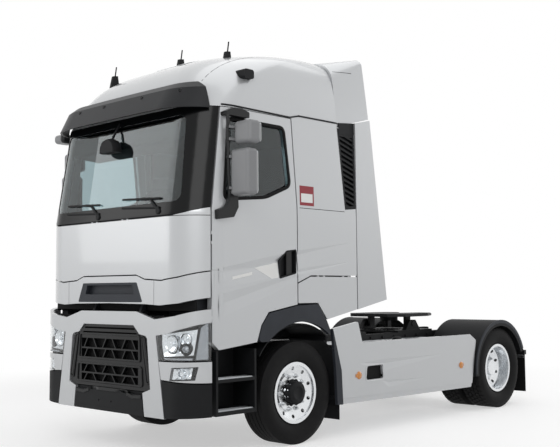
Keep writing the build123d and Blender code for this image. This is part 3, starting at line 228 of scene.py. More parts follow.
@dataclass(frozen=True)
class Finish:
    """A surface: its name, the record's slot, its colour, how it takes light and what shows up close.

    Patches mix in the other colour, smears change the roughness by a share, and relief raises the
    surface. Each pattern is carried from 0 to 1 over to its range.
    """

    name: str
    slot: str
    colour: str
    roughness: float
    metallic: float = 0.0
    ior: float = 1.5
    specular: float = 0.5
    other: str = "#000000"
    patches: Optional[Pattern] = None
    patch_range: Flat = (0.0, 1.0)
    smears: Optional[Pattern] = None
    smear_range: Flat = (1.0, 1.0)
    relief: Optional[Pattern] = None
    depth_mm: float = 0.0
    coat: tuple[tuple[str, float], ...] = ()

    def build(self) -> bpy.types.Material:
        """Make the material.

        Returns:
            A material with this finish's nodes.
        """
        made = bpy.data.materials.new(self.name)
        made.use_nodes = True
        tree = made.node_tree
        shader = tree.nodes["Principled BSDF"]
        levels = {
            "Base Color": linear(self.colour),
            "Roughness": self.roughness,
            "Metallic": self.metallic,
            "Specular IOR Level": self.specular,
            **dict(self.coat),
        }
        if not self.metallic:
            levels["IOR"] = self.ior
        for name, level in levels.items():
            shader.inputs[name].default_value = level
        place = add_node(tree, "ShaderNodeTexCoord").outputs["Object"]
        if self.patches:
            low, high = self.patch_range
            inputs = {"Value": self.patches.lay(tree, place), "To Min": low, "To Max": high}
            mask = add_node(tree, "ShaderNodeMapRange", inputs).outputs["Result"]
            inputs = {0: mask, 6: linear(self.colour), 7: linear(self.other)}
            mix = add_node(tree, "ShaderNodeMix", inputs, data_type="RGBA")
            tree.links.new(mix.outputs[2], shader.inputs["Base Color"])
        if self.smears:
            low, high = (self.roughness * share for share in self.smear_range)
            inputs = {"Value": self.smears.lay(tree, place), "To Min": low, "To Max": high}
            rough = add_node(tree, "ShaderNodeMapRange", inputs)
            tree.links.new(rough.outputs["Result"], shader.inputs["Roughness"])
        if self.relief:
            height = self.relief.lay(tree, place)
            inputs = {"Height": height, "Strength": 1.0, "Distance": self.depth_mm / 1000}
            bump = add_node(tree, "ShaderNodeBump", inputs)
            tree.links.new(bump.outputs["Normal"], shader.inputs["Normal"])
        return made


@dataclass(frozen=True)
class MetallicPaint(Finish):
    """Sprayed metallic basecoat under clear lacquer: flakes sparkle softly below a smooth gloss."""

    # Flakes, drawn at 4 mm because the real 0.05 mm is too fine to show, and a lacquer coat.
    other: str = "#A3A6A9"
    patches: Pattern = Pattern(4.0)
    patch_range: Flat = (0.0, 0.22)
    coat: tuple[tuple[str, float], ...] = (("Coat Weight", 1.0), ("Coat Roughness", 0.06))


@dataclass(frozen=True)
class GrainedPlastic(Finish):
    """Moulded plastic with an etched grain: dull, with small dark pits and paler high spots."""

    # A leather-like grain, drawn at 5 mm because the real 1 mm is too fine to show; wear in patches.
    patches: Pattern = Pattern(220.0, 4.0)
    patch_range: Flat = (-0.25, 0.6)
    relief: Pattern = Pattern(
        5.0, kind="ShaderNodeTexVoronoi", result="Distance", settings=(("feature", "SMOOTH_F1"),)
    )
    depth_mm: float = 0.5


@dataclass(frozen=True)
class SmoothPlastic(Finish):
    """Injection-moulded or lacquered plastic with a polished skin: clean reflections, faint waviness."""

    # The slight sink marks and smears of a moulded skin.
    smears: Pattern = Pattern(60.0, 3.0)
    smear_range: Flat = (0.75, 1.3)


@dataclass(frozen=True)
class VulcanisedRubber(Finish):
    """Moulded black rubber: matt, dusted grey on its high faces."""

    # Road dust in patches of some 90 mm, and a fine mould texture drawn at 6 mm.
    patches: Pattern = Pattern(90.0, 5.0)
    patch_range: Flat = (-0.35, 0.55)
    relief: Pattern = Pattern(6.0)
    depth_mm: float = 0.25


@dataclass(frozen=True)
class BareMetal(Finish):
    """Machined, forged or cast metal left bare: bright, with marks that spread its reflections."""

    # Tool marks and handling smears, some 14 mm long.
    other: str = "#8E9194"
    patches: Pattern = Pattern(14.0, 6.0)
    patch_range: Flat = (-0.2, 0.5)
    smears: Pattern = Pattern(14.0, 6.0)
    smear_range: Flat = (0.6, 1.5)
    relief: Pattern = Pattern(14.0, 6.0)
    depth_mm: float = 0.03


@dataclass(frozen=True)
class ChassisPaint(Finish):
    """Thick primer and enamel over cast or rolled steel: satin, slightly pitted, greyed by dust."""

    # Dust in patches of some 150 mm and a cast skin of 9 mm.
    patches: Pattern = Pattern(150.0, 6.0)
    patch_range: Flat = (-0.5, 0.6)
    relief: Pattern = Pattern(9.0)
    depth_mm: float = 0.35


@dataclass(frozen=True)
class TintedGlass(Finish):
    """Rolled or moulded clear sheet: see-through, tinted in its mass, sharp reflections."""

    coat: tuple[tuple[str, float], ...] = (("Transmission Weight", 1.0),)


@dataclass(frozen=True)
class FlutedLens(Finish):
    """Coloured or clear moulded lens, fluted inside so that it breaks light into bright and dark lines."""

    relief: Pattern = Ridges(12.0)
    depth_mm: float = 1.2
    coat: tuple[tuple[str, float], ...] = (("Coat Weight", 1.0), ("Coat Roughness", 0.05))


@dataclass(frozen=True)
class WovenCloth(Finish):
    """Flat-woven seat cloth: crossing threads, a soft sheen at glancing angles."""

    # Warp and weft, drawn at 7 mm because the real 0.8 mm is too fine to show.
    other: str = "#171A1E"
    patches: Pattern = Weave(7.0)
    relief: Pattern = Weave(7.0)
    depth_mm: float = 0.8
    coat: tuple[tuple[str, float], ...] = (("Sheen Weight", 0.4), ("Sheen Roughness", 0.5))


@dataclass(frozen=True)
class SplitFinish(SmoothPlastic):
    """Two moulded colours on one piece: the other colour lies nearer to the middle of the vehicle."""

    other: str = "#1A1B1C"
    patches: Pattern = Stretch(1298.0, axis="Y")


@dataclass(frozen=True)
class MarkerLens(FlutedLens):
    """Moulded lamp lenses of one piece: red at the tail, amber from the rear axle forwards."""

    other: str = "#E08A1E"
    patches: Pattern = Stretch(5000.0, axis="X", middle_mm=2400.0)


class Look(Enum):
    """The finishes on the vehicle."""

    BODY = MetallicPaint("clear_coated_silver", "cab_paint", "#C2C4C6", 0.34, 0.45)
    GRAINED = GrainedPlastic(
        "grained_black_polypropylene", "black_plastic", "#111214", 0.6, specular=0.2, other="#1C1D1F"
    )
    SLATE = GrainedPlastic(
        "grained_slate_polypropylene", "black_plastic", "#2A2D33", 0.5, specular=0.25, other="#383C43"
    )
    VISOR = GrainedPlastic(
        "satin_grey_abs", "visor_plastic", "#232426", 0.42, specular=0.2, other="#2B2C2E", depth_mm=0.15
    )
    GLOSS_BLACK = SmoothPlastic("polished_black_abs", "black_gloss", "#0A0B0C", 0.16, specular=0.2)
    LATTICE = SmoothPlastic("satin_black_abs", "black_plastic", "#0E0F10", 0.32, specular=0.3)
    MIRROR_CASE = SplitFinish("painted_grey_abs", "mirror_case", "#87888A", 0.35, specular=0.3)
    GLASS = TintedGlass("laminated_glass", "glass", "#B9C9CC", 0.0)
    LENS = TintedGlass("clear_polycarbonate", "clear_lens", "#F4F6F7", 0.0, ior=1.45)
    CHROME = BareMetal("vacuum_metallised_reflector", "clear_lens", "#E4E6E8", 0.07, 1.0, other="#C8CBCE")
    SMOKED = FlutedLens("smoked_fluted_polycarbonate", "clear_lens", "#9DA1A6", 0.2, 0.6)
    MARKERS = MarkerLens("red_and_amber_acrylic", "lamp_red", "#9C1216", 0.18)
    TYRE = VulcanisedRubber("moulded_tyre_rubber", "tyre", "#101011", 0.75, specular=0.2, other="#1D1C1B")
    RUBBER = VulcanisedRubber(
        "moulded_soft_rubber", "rubber", "#0B0B0C", 0.7, specular=0.15, other="#161616"
    )
    RIM = BareMetal("polished_forged_aluminium", "rim_alloy", "#E2E4E6", 0.24, 1.0, other="#C4C7CA")
    STEEL = BareMetal("zinc_plated_steel", "rim_alloy", "#C2C4C6", 0.3, 1.0)
    ALLOY = BareMetal("rolled_aluminium", "tank_alloy", "#B9BCBF", 0.38, 1.0)
    FRAME = ChassisPaint("chassis_enamel", "frame_paint", "#141517", 0.5, specular=0.25, other="#222120")
    CASTING = ChassisPaint("painted_casting", "cast_grey", "#1B1C1E", 0.55, specular=0.25, other="#2A2927")
    COOLER = BareMetal("brazed_aluminium_core", "cooler", "#5E6164", 0.5, 1.0)
    CAB_INNER = GrainedPlastic(
        "cab_trim_plastic", "cab_inner", "#2B2D30", 0.6, specular=0.25, other="#34363A"
    )
    DASH = GrainedPlastic(
        "soft_touch_dash_skin", "interior_plastic", "#17181A", 0.6, specular=0.25, other="#202124"
    )
    SEAT = WovenCloth("woven_seat_cloth", "seat_cloth", "#23262B", 0.9)
    MIRROR = BareMetal(
        "silvered_mirror_glass", "mirror_case", "#E8EBEC", 0.02, 1.0, other="#DADDDE", depth_mm=0.0
    )
    STICKER_RED = SmoothPlastic("red_vinyl", "cab_paint", "#8E1F2C", 0.4)
    # White vinyl of the stickers and plates; on the doors the same white is a painted highlight.
    WHITE_VINYL_AND_HIGHLIGHT = SmoothPlastic("white_vinyl_and_painted_highlight", "cab_paint", "#F0F0EE", 0.4)


_materials: dict[Look, bpy.types.Material] = {}


def material(look: Look) -> bpy.types.Material:
    """The material of a finish, made when it is first asked for.

    Args:
        look: The finish.

    Returns:
        Its material.
    """
    if look not in _materials:
        _materials[look] = look.value.build()
    return _materials[look]


def rounded(outline: Sequence[Flat], radius: float, steps: int = 5) -> list[Flat]:
    """A closed outline with its corners rounded.

    Args:
        outline: The corners.
        radius: How far from a corner the curve starts.
        steps: Points in each curve.

    Returns:
        The outline with curves.
    """
    made: list[Flat] = []
    for index, corner in enumerate(outline):
        middle = Vector(corner)
        ends = []
        for other in (outline[index - 1], outline[(index + 1) % len(outline)]):
            away = Vector(other) - middle
            ends.append(middle + away.normalized() * min(radius, away.length * 0.49))
        for step in range(steps + 1):
            t = step / steps
            point = ends[0] * (1 - t) ** 2 + middle * 2 * t * (1 - t) + ends[1] * t * t
            made.append((point.x, point.y))
    return made


def arc_through(start: Flat, middle: Flat, end: Flat, steps: int) -> list[Flat]:
    """Points on the arc through three points.

    Args:
        start: The first point.
        middle: A point on the way.
        end: The last point.
        steps: How many parts.

    Returns:
        The points, both ends included.
    """
    (ax, ay), (bx, by), (cx, cy) = start, middle, end
    d = 2 * (ax * (by - cy) + bx * (cy - ay) + cx * (ay - by))
    a2, b2, c2 = ax * ax + ay * ay, bx * bx + by * by, cx * cx + cy * cy
    ux = (a2 * (by - cy) + b2 * (cy - ay) + c2 * (ay - by)) / d
    uy = (a2 * (cx - bx) + b2 * (ax - cx) + c2 * (bx - ax)) / d
    radius = math.hypot(ax - ux, ay - uy)
    angles = [math.atan2(y - uy, x - ux) for x, y in (start, middle, end)]
    turn = (angles[2] - angles[0]) % math.tau
    if (angles[1] - angles[0]) % math.tau > turn:
        turn -= math.tau
    spread = [angles[0] + turn * step / steps for step in range(steps + 1)]
    return [(ux + radius * math.cos(a), uy + radius * math.sin(a)) for a in spread]


def oblong(u: Flat, v: Flat) -> list[Flat]:
    """The corners of a rectangle between two limits each way."""
    return [(u[0], v[0]), (u[1], v[0]), (u[1], v[1]), (u[0], v[1])]


def polar(radius: float, angle: float, height: float) -> Vector:
    """A point of a turned form, its axis along Z."""
    return Vector((radius * math.cos(angle), radius * math.sin(angle), height))


def hexagon(radius: float) -> list[Flat]:
    """The corners of a nut or of a bolt's head."""
    return [tuple(polar(radius, math.tau * corner / 6, 0).xy) for corner in range(6)]


class Shape:
    """Points and faces of one piece, in millimetres from the front axle, the middle and the road."""

    def __init__(self) -> None:
        """Start with nothing."""
        self.points: list[Vector] = []
        self.faces: list[list[int]] = []

    def grid(self, rows: Sequence[Sequence[Vector]], across: bool = False, along: bool = False) -> "Shape":
        """Join rows of points with four-sided faces.

        Args:
            rows: Rows with the same number of points.
            across: Whether each row closes on itself.
            along: Whether the last row joins the first.

        Returns:
            This shape.
        """
        base, width, count = len(self.points), len(rows[0]), len(rows)
        for row in rows:
            self.points.extend(Vector(point) for point in row)
        for i in range(count if along else count - 1):
            for j in range(width if across else width - 1):
                low, high = base + i * width, base + (i + 1) % count * width
                self.faces.append([low + j, low + (j + 1) % width, high + (j + 1) % width, high + j])
        return self

    def lathe(self, profile: Sequence[Flat], place: Matrix, segments: int) -> "Shape":
        """Turn a profile about the local Z axis.

        Args:
            profile: Radius and height of each point.
            place: Where the axis stands.
            segments: Steps round.

        Returns:
            This shape.
        """
        angles = [math.tau * step / segments for step in range(segments)]
        return self.grid([[place @ polar(r, a, h) for a in angles] for r, h in profile], across=True)

    def prism(self, outline: Sequence[Flat], low: float, high: float, place: Matrix = PLAN_VIEW) -> "Shape":
        """Run a flat outline through a depth.

        Args:
            outline: Points of the drawing.
            low: Depth of the first face.
            high: Depth of the last face.
            place: The drawing's axes.

        Returns:
            This shape.
        """
        base, count = len(self.points), len(outline)
        for level in (low, high):
            self.points.extend(place @ Vector((u, v, level)) for u, v in outline)
        self.faces.append([base + i for i in reversed(range(count))])
        self.faces.append([base + count + i for i in range(count)])
        for i in range(count):
            j = (i + 1) % count
            self.faces.append([base + i, base + j, base + count + j, base + count + i])
        return self

    def box(self, low: Sequence[float], high: Sequence[float]) -> "Shape":
        """Add a block between two corners.

        Args:
            low: Lowest corner.
            high: Highest corner.

        Returns:
            This shape.
        """
        return self.prism(oblong((low[0], high[0]), (low[1], high[1])), low[2], high[2])

    def between(self, side: Side, low: Sequence[float], high: Sequence[float]) -> "Shape":
        """Add a block between two corners that are given for the left side."""
        near, far = sorted((side.value * low[1], side.value * high[1]))
        return self.box((low[0], near, low[2]), (high[0], far, high[2]))

    def loft(self, rows: Sequence[Sequence[Vector]], closed: bool = False) -> "Shape":
        """Join closed sections into a skin, with faces on both ends unless it runs round.

        Args:
            rows: Sections with the same number of points.
            closed: Whether the last section joins the first.

        Returns:
            This shape.
        """
        base, width, last = len(self.points), len(rows[0]), len(rows) - 1
        self.grid(rows, across=True, along=closed)
        if not closed:
            self.faces.append([base + j for j in range(width)])
            self.faces.append([base + last * width + j for j in range(width)])
        return self

    def sweep(self, path: Sequence[Step], section: Sequence[Flat], closed: bool = False) -> "Shape":
        """Carry a section along a path, mitred at its corners.

        Args:
            path: The points of the path, each with the direction of height there.
            section: Distance to the side and height of each point of the section.
            closed: Whether the path is a loop.

        Returns:
            This shape.
        """
        rows = []
        count = len(path)
        for index, (point, up) in enumerate(path):
            ends = []
            if index or closed:
                ends.append((point - path[index - 1][0]).normalized())
            if index < count - 1 or closed:
                ends.append((path[(index + 1) % count][0] - point).normalized())
            tangent = sum(ends, Vector()).normalized()
            stretch = 1 / max(0.5, tangent.dot(ends[-1]))
            out = tangent.cross(up).normalized() * stretch
            rows.append([point + out * a + up * b for a, b in section])
        return self.loft(rows, closed)

    def bolt(self, place: Matrix, radius: float) -> "Shape":
        """Add a six-sided bolt head on its washer.

        Args:
            place: The head's axes, Z pointing away from the surface.
            radius: From the middle to a corner of the head.

        Returns:
            This shape.
        """
        self.lathe([(radius * 1.4, -1), (radius * 1.4, radius * 0.25), (0, radius * 0.25)], place, 16)
        return self.prism(hexagon(radius), 0, radius, place)

    def cushion(self, place: Matrix, half: Sequence[float], seams: Sequence[float]) -> "Shape":
        """Add a stuffed pad: rounded edges, crowned faces, sides pulled in and stitched channels.

        Args:
            place: The pad's axes.
            half: Half its length, width and height.
            seams: Distances across the pad at which a stitched channel runs.

        Returns:
            This shape.
        """
        size, edge, steps = Vector(half), min(half) * PAD_EDGE, PAD_STEPS
        for axis in range(3):
            for sign in (-1, 1):
                rows = []
                for i in range(steps + 1):
                    row = []
                    for j in range(steps + 1):
                        cube = [0.0, 0.0, 0.0]
                        cube[axis] = sign
                        cube[(axis + 1) % 3] = 2 * i / steps - 1
                        cube[(axis + 2) % 3] = 2 * j / steps - 1
                        row.append(place @ self.stuffed(Vector(cube), size, edge, seams))
                    rows.append(row)
                self.grid(rows)
        return self

    @staticmethod
    def stuffed(cube: Vector, size: Vector, edge: float, seams: Sequence[float]) -> Vector:
        """Move a point of a cube onto a stuffed pad.

        Args:
            cube: The point, each coordinate from -1 to 1.
            size: Half the pad's length, width and height.
            edge: Radius of its edges.
            seams: Distances across the pad at which a stitched channel runs.

        Returns:
            The point on the pad.
        """
        full = Vector([c * s for c, s in zip(cube, size)])
        core = Vector([max(edge - s, min(s - edge, f)) for f, s in zip(full, size)])
        point = core + (full - core).normalized() * edge
        thin = min(range(3), key=lambda axis: size[axis])
        swell = math.prod(1 - (point[axis] / size[axis]) ** 2 for axis in range(3) if axis != thin)
        dip = sum(math.exp(-((point.y - seam) / PAD_SEAM_MM) ** 2) for seam in seams)
        point[thin] *= 1 - PAD_SWELL + PAD_SWELL * swell - PAD_DIP * dip
        return point

    def piece(self, name: str, look: Look, smooth: float = 38.0, bevel: float = 0.0) -> bpy.types.Object:
        """Make the Blender object.

        Args:
            name: The piece's name.
            look: Its finish.
            smooth: Edges flatter than this angle, in degrees, are shaded smooth.
            bevel: Width of the rounding on sharp edges, in millimetres.

        Returns:
            The object, in the row frame.
        """
        mesh = bpy.data.meshes.new(name)
        points = [((p.x + AXLE_MM) / 1000, p.y / 1000, p.z / 1000) for p in self.points]
        mesh.from_pydata(points, [], self.faces)
        work = bmesh.new()
        work.from_mesh(mesh)
        bmesh.ops.remove_doubles(work, verts=work.verts, dist=1e-5)
        bmesh.ops.recalc_face_normals(work, faces=work.faces)
        for edge in work.edges:
            pair = len(edge.link_faces) == 2
            edge.smooth = pair and edge.calc_face_angle() < math.radians(smooth)
        for face in work.faces:
            face.smooth = True
        work.to_mesh(mesh)
        work.free()
        mesh.materials.append(material(look))
        made = bpy.data.objects.new(name, mesh)
        bpy.context.scene.collection.objects.link(made)
        if bevel:
            edge_round = made.modifiers.new("edge", "BEVEL")
            edge_round.width = bevel / 1000
            edge_round.segments = 2
            edge_round.limit_method = "ANGLE"
        return made


def strip(width: float, height: float, sunk: float) -> list[Flat]:
    """The section of a flat strip with eased edges, let into the surface a little."""
    half, ease = width / 2, min(width, height + sunk) / 4
    foot, shoulder = [(-half, -sunk), (half, -sunk)], [(half, height - ease), (half - ease, height)]
    return foot + shoulder + [(ease - half, height), (-half, height - ease)]


def dense(line: Sequence[Flat], steps: int) -> list[Flat]:
    """A line with each stretch cut into short steps.

    Args:
        line: Its corners.
        steps: Parts of each stretch.

    Returns:
        The corners and the points between them.
    """
    made: list[Flat] = []
    for (a, b), (c, d) in zip(line, line[1:]):
        made += [(a + (c - a) * k / steps, b + (d - b) * k / steps) for k in range(steps)]
    return made + [tuple(line[-1])]


def ring(view: Matrix, outline: Sequence[Flat], depth: float) -> list[Step]:
    """A path along an outline of a drawing, its height along the drawing's depth."""
    return [(view @ Vector((u, v, depth)), view.col[2].to_3d()) for u, v in outline]


def looking(place: Vector, out: Vector) -> Matrix:
    """Axes at a place, Z along a direction."""
    return Matrix.Translation(place) @ out.to_track_quat("Z", "Y").to_matrix().to_4x4()


class Surface:
    """The skin of some CAD nodes, on which trim is laid."""

    def __init__(self, *nodes: str) -> None:
        """Read the nodes' faces.

        Args:
            *nodes: Names of the CAD nodes.
        """
        points: list[Vector] = []
        faces: list[list[int]] = []
        for name in nodes:
            mesh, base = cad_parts[name].data, len(points)
            points.extend(vertex.co * 1000 - Vector((AXLE_MM, 0, 0)) for vertex in mesh.vertices)
            faces.extend([base + index for index in face.vertices] for face in mesh.polygons)
        self.tree = BVHTree.FromPolygons(points, faces)

    def land(self, start: Sequence[float], towards: Sequence[float]) -> Step:
        """Carry a point along a line until it meets the skin.

        Args:
            start: Where the line starts.
            towards: Its direction.

        Returns:
            The place on the skin and the skin's outward direction there.

        Raises:
            ValueError: The line misses the skin.
        """
        way = Vector(towards).normalized()
        place, normal, _, _ = self.tree.ray_cast(Vector(start), way)
        if place is None:
            raise ValueError(f"no skin on the way from {tuple(start)}")
        return place, -normal if normal.dot(way) > 0 else normal

    def from_front(self, y: float, z: float) -> Step:
        """Land a point of the front view on the skin."""
        return self.land((AHEAD_MM, y, z), (-1, 0, 0))

    def from_side(self, side: Side, x: float, z: float) -> Step:
        """Land a point of the side view on the skin."""
        return self.land((x, side.value * BESIDE_MM, z), (0, -side.value, 0))

    def from_above(self, x: float, y: float) -> Step:
        """Land a point of the plan on the skin."""
        return self.land((x, y, ABOVE_MM), (0, 0, -1))

    def plate(self, side: Side, corners: Sequence[Flat], height: float, steps: int = 6) -> Shape:
        """A thin plate on the side of the vehicle.

        Args:
            side: The side.
            corners: Its four corners along and up, in turn.
            height: How far it stands off the skin.
            steps: Parts along and up.

        Returns:
            The plate's shape.
        """
        a, b, c, d = (Vector(corner) for corner in corners)
        rows = []
        for i in range(steps + 1):
            foot, head = a.lerp(b, i / steps), d.lerp(c, i / steps)
            spots = [foot.lerp(head, j / steps) for j in range(steps + 1)]
            landed = [self.from_side(side, spot.x, spot.y) for spot in spots]
            upper = [place + out * height for place, out in landed]
            rows.append(upper + [place - out for place, out in reversed(landed)])
        return Shape().loft(rows)


@dataclass
class SubAssembly:
    """A group of pieces that is built and dressed together."""

    pieces: list[bpy.types.Object] = field(default_factory=list, init=False)

    def build(self) -> None:
        """Model the pieces that the CAD model leaves out."""

    def dress(self) -> None:
        """Give the group's CAD nodes their finishes."""

    def add(
        self,
        shape: Shape,
        name: str,
        look: Look,
        body: str,
        *nodes: str,
        smooth: float = 38.0,
        bevel: float = 0.0,
    ) -> bpy.types.Object:
        """Make a piece from a shape, fasten it to a body and hide the CAD nodes that it replaces.

        Args:
            shape: The shape.
            name: The piece's name.
            look: Its finish.
            body: The CAD body that carries it.
            *nodes: CAD nodes that it replaces.
            smooth: Edges flatter than this angle, in degrees, are shaded smooth.
            bevel: Width of the rounding on sharp edges, in millimetres.

        Returns:
            The piece.
        """
        made = shape.piece(name, look, smooth, bevel)
        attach(made, body)
        if nodes:
            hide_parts(*nodes)
        self.pieces.append(made)
        return made

    def paint(self, look: Look, *nodes: str) -> None:
        """Give CAD nodes a finish.

        Args:
            look: The finish.
            *nodes: The nodes.
        """
        for name in nodes:
            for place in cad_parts[name].material_slots:
                place.material = material(look)


@dataclass
class Wheels(SubAssembly):
    """Tyres with tread, and the nuts and caps on the hubs."""

    tyre_r: float = 507.0
    tyre_half: float = 157.5
    bead_r: float = 286.3
    bead_half: float = 110.0
    toe_r: float = 310.0
    belly_r: float = 402.0
    shoulder: Flat = (485.0, 139.5)
    wall_ribs: tuple[Flat, ...] = ((340.0, 352.0), (446.0, 454.0))
    rib_lift: float = 1.6
    tread_half: float = 129.5
    grooves: tuple[float, ...] = (78.0, 27.0, -27.0, -78.0)
    groove_w: float = 10.0
    groove_depth: float = 13.0
    waves: int = 70
    wave: float = 3.5
    blocks: int = 46
    block_parts: tuple[float, ...] = (0.0, 0.30, 0.32, 0.48, 0.50, 0.80, 0.82, 0.98)
    slot_depth: float = 8.0
    front_y: float = 1022.0
    rear_y: float = 1078.0
    twin_pitch: float = 350.0
    wheelbase: float = 3800.0
    nuts: int = 10
    nut_circle: float = 167.5
    nut_r: float = 16.5
    nut_h: Flat = (5.0, 25.0)
    washer: tuple[Flat, ...] = ((0, 0), (24, 0), (24, 4), (19, 7), (0, 7))
    stud: tuple[Flat, ...] = ((11, 24), (11, 34), (7, 37), (0, 37))
    disc_face: float = 70.0
    cap_skirt: tuple[Flat, ...] = ((124, 84), (126, 98), (116, 110))
    cap_crown: tuple[Flat, ...] = ((113, 122), (112, 148), (104, 154), (66, 158), (62, 152), (0, 152))
    cap_lobe: float = 12.0
    cap_steps: int = 120

    def axis(self, side: Side, x: float, y: float) -> Matrix:
        """The place of a wheel, its local Z pointing outwards.

        Args:
            side: The side of the vehicle.
            x: Distance from the front axle.
            y: Distance of the wheel's middle from the vehicle's middle.

        Returns:
            The wheel's axes.
        """
        return Matrix.Translation((x, side.value * y, self.tyre_r)) @ side_view(side)

    def sidewall(self) -> list[Flat]:
        """Work out the outer sidewall from bead to shoulder, with two thin ribs.

        Returns:
            Radius and height of each point.
        """
        toe = (self.toe_r, self.bead_half)
        made = [(self.bead_r, self.bead_half - 6), (self.bead_r + 8, self.bead_half), toe]
        for radius, height in arc_through(toe, (self.belly_r, self.tyre_half), self.shoulder, 14)[1:]:
            ribbed = any(low < radius < high for low, high in self.wall_ribs)
            made.append((radius, height + (self.rib_lift if ribbed else 0.0)))
        return made

    def tread(self) -> list[tuple[float, float, float]]:
        """Work out the tread from one shoulder to the other.

        Returns:
            Radius, height and share of the zigzag of each point.
        """
        top, low, half = self.tyre_r, self.tyre_r - self.groove_depth, self.groove_w / 2
        made = [(top, self.tread_half, 0.0)]
        for middle in self.grooves:
            edges = ((top, half), (low, half - 2), (low, 2 - half), (top, -half))
            made += [(radius, middle + edge, 1.0) for radius, edge in edges]
        return made + [(top, -self.tread_half, 0.0)]

    def add_tyre(self, shape: Shape, place: Matrix, drive: bool) -> None:
        """Add one tyre.

        Args:
            shape: The shape that takes it.
            place: The wheel's axes.
            drive: Whether the tread has blocks; otherwise it has plain ribs with zigzag grooves.
        """
        wall, tread = [(r, h, 0.0) for r, h in self.sidewall()], self.tread()
        profile = wall + tread + [(r, -h, z) for r, h, z in reversed(wall)]
        first = len(wall)
        count, parts = (self.blocks, self.block_parts) if drive else (self.waves, (0.0, 0.5))
        angles = [math.tau * (index + part) / count for index in range(count) for part in parts]
        rows = []
        for number, (radius, height, zigzag) in enumerate(profile):
            on_tread = first <= number < first + len(tread) and radius > self.tyre_r - 1
            slots = (6, 7) if (number - first) // 4 % 2 == 0 else (2, 3)
            row = []
            for step, angle in enumerate(angles):
                r, h = radius, height
                if drive and on_tread:
                    r -= self.slot_depth if step % len(parts) in slots else 0.0
                else:
                    h += zigzag * (self.wave if step % 2 else -self.wave)
                row.append(place @ polar(r, angle, h))
            rows.append(row)
        shape.grid(rows, across=True, along=True)

    def wheel_nuts(self, place: Matrix, face: float) -> Shape:
        """The ring of wheel nuts with their washers and studs.

        Args:
            place: The wheel's axes.
            face: Height of the disc that they clamp.

        Returns:
            The nuts' shape.
        """
        shape = Shape()
        for index in range(self.nuts):
            at = place @ Matrix.Translation(polar(self.nut_circle, math.tau * index / self.nuts, face))
            shape.lathe(self.washer, at, 20)
            shape.prism(hexagon(self.nut_r), *self.nut_h, at)
            shape.lathe(self.stud, at, 16)
        return shape

    def hub_cap(self, place: Matrix) -> Shape:
        """The dark cap over a front hub, its skirt lobed between the nuts.

        Args:
            place: The wheel's axes.

        Returns:
            The cap's shape.
        """
        angles = [math.tau * step / self.cap_steps for step in range(self.cap_steps)]
        rows = []
        for profile, lobe in ((self.cap_skirt, self.cap_lobe), (self.cap_crown, 0.0)):
            for radius, height in profile:
                radii = [radius + lobe * math.cos(self.nuts * angle) for angle in angles]
                rows.append([place @ polar(r, angle, height) for r, angle in zip(radii, angles)])
        return Shape().grid(rows, across=True)

    def build(self) -> None:
        """Model tyres, nuts and caps on both axles."""
        for side in Side:
            word, body = side.word, f"front_wheel_{side.word}"
            tyre, twins = Shape(), Shape()
            front = self.axis(side, 0, self.front_y)
            self.add_tyre(tyre, front, False)
            self.add(tyre, f"steer_tyre_{word}", Look.TYRE, body, f"front_tyre_{word}")
            self.add(self.wheel_nuts(front, self.disc_face), f"front_nuts_{word}", Look.STEEL, body)
            self.add(self.hub_cap(front), f"front_hub_cap_{word}", Look.GRAINED, body, smooth=60)
            body = f"rear_wheels_{word}"
            rear = self.axis(side, -self.wheelbase, self.rear_y)
            self.add_tyre(twins, rear, True)
            self.add_tyre(twins, self.axis(side, -self.wheelbase, self.rear_y - self.twin_pitch), True)
            self.add(twins, f"drive_tyres_{word}", Look.TYRE, body, f"rear_tyres_{word}")
            self.add(self.wheel_nuts(rear, -self.disc_face), f"rear_nuts_{word}", Look.STEEL, body)

    def dress(self) -> None:
        """Polish the rims."""
        for side in Side:
            self.paint(Look.RIM, f"front_rim_{side.word}", f"rear_rims_{side.word}")


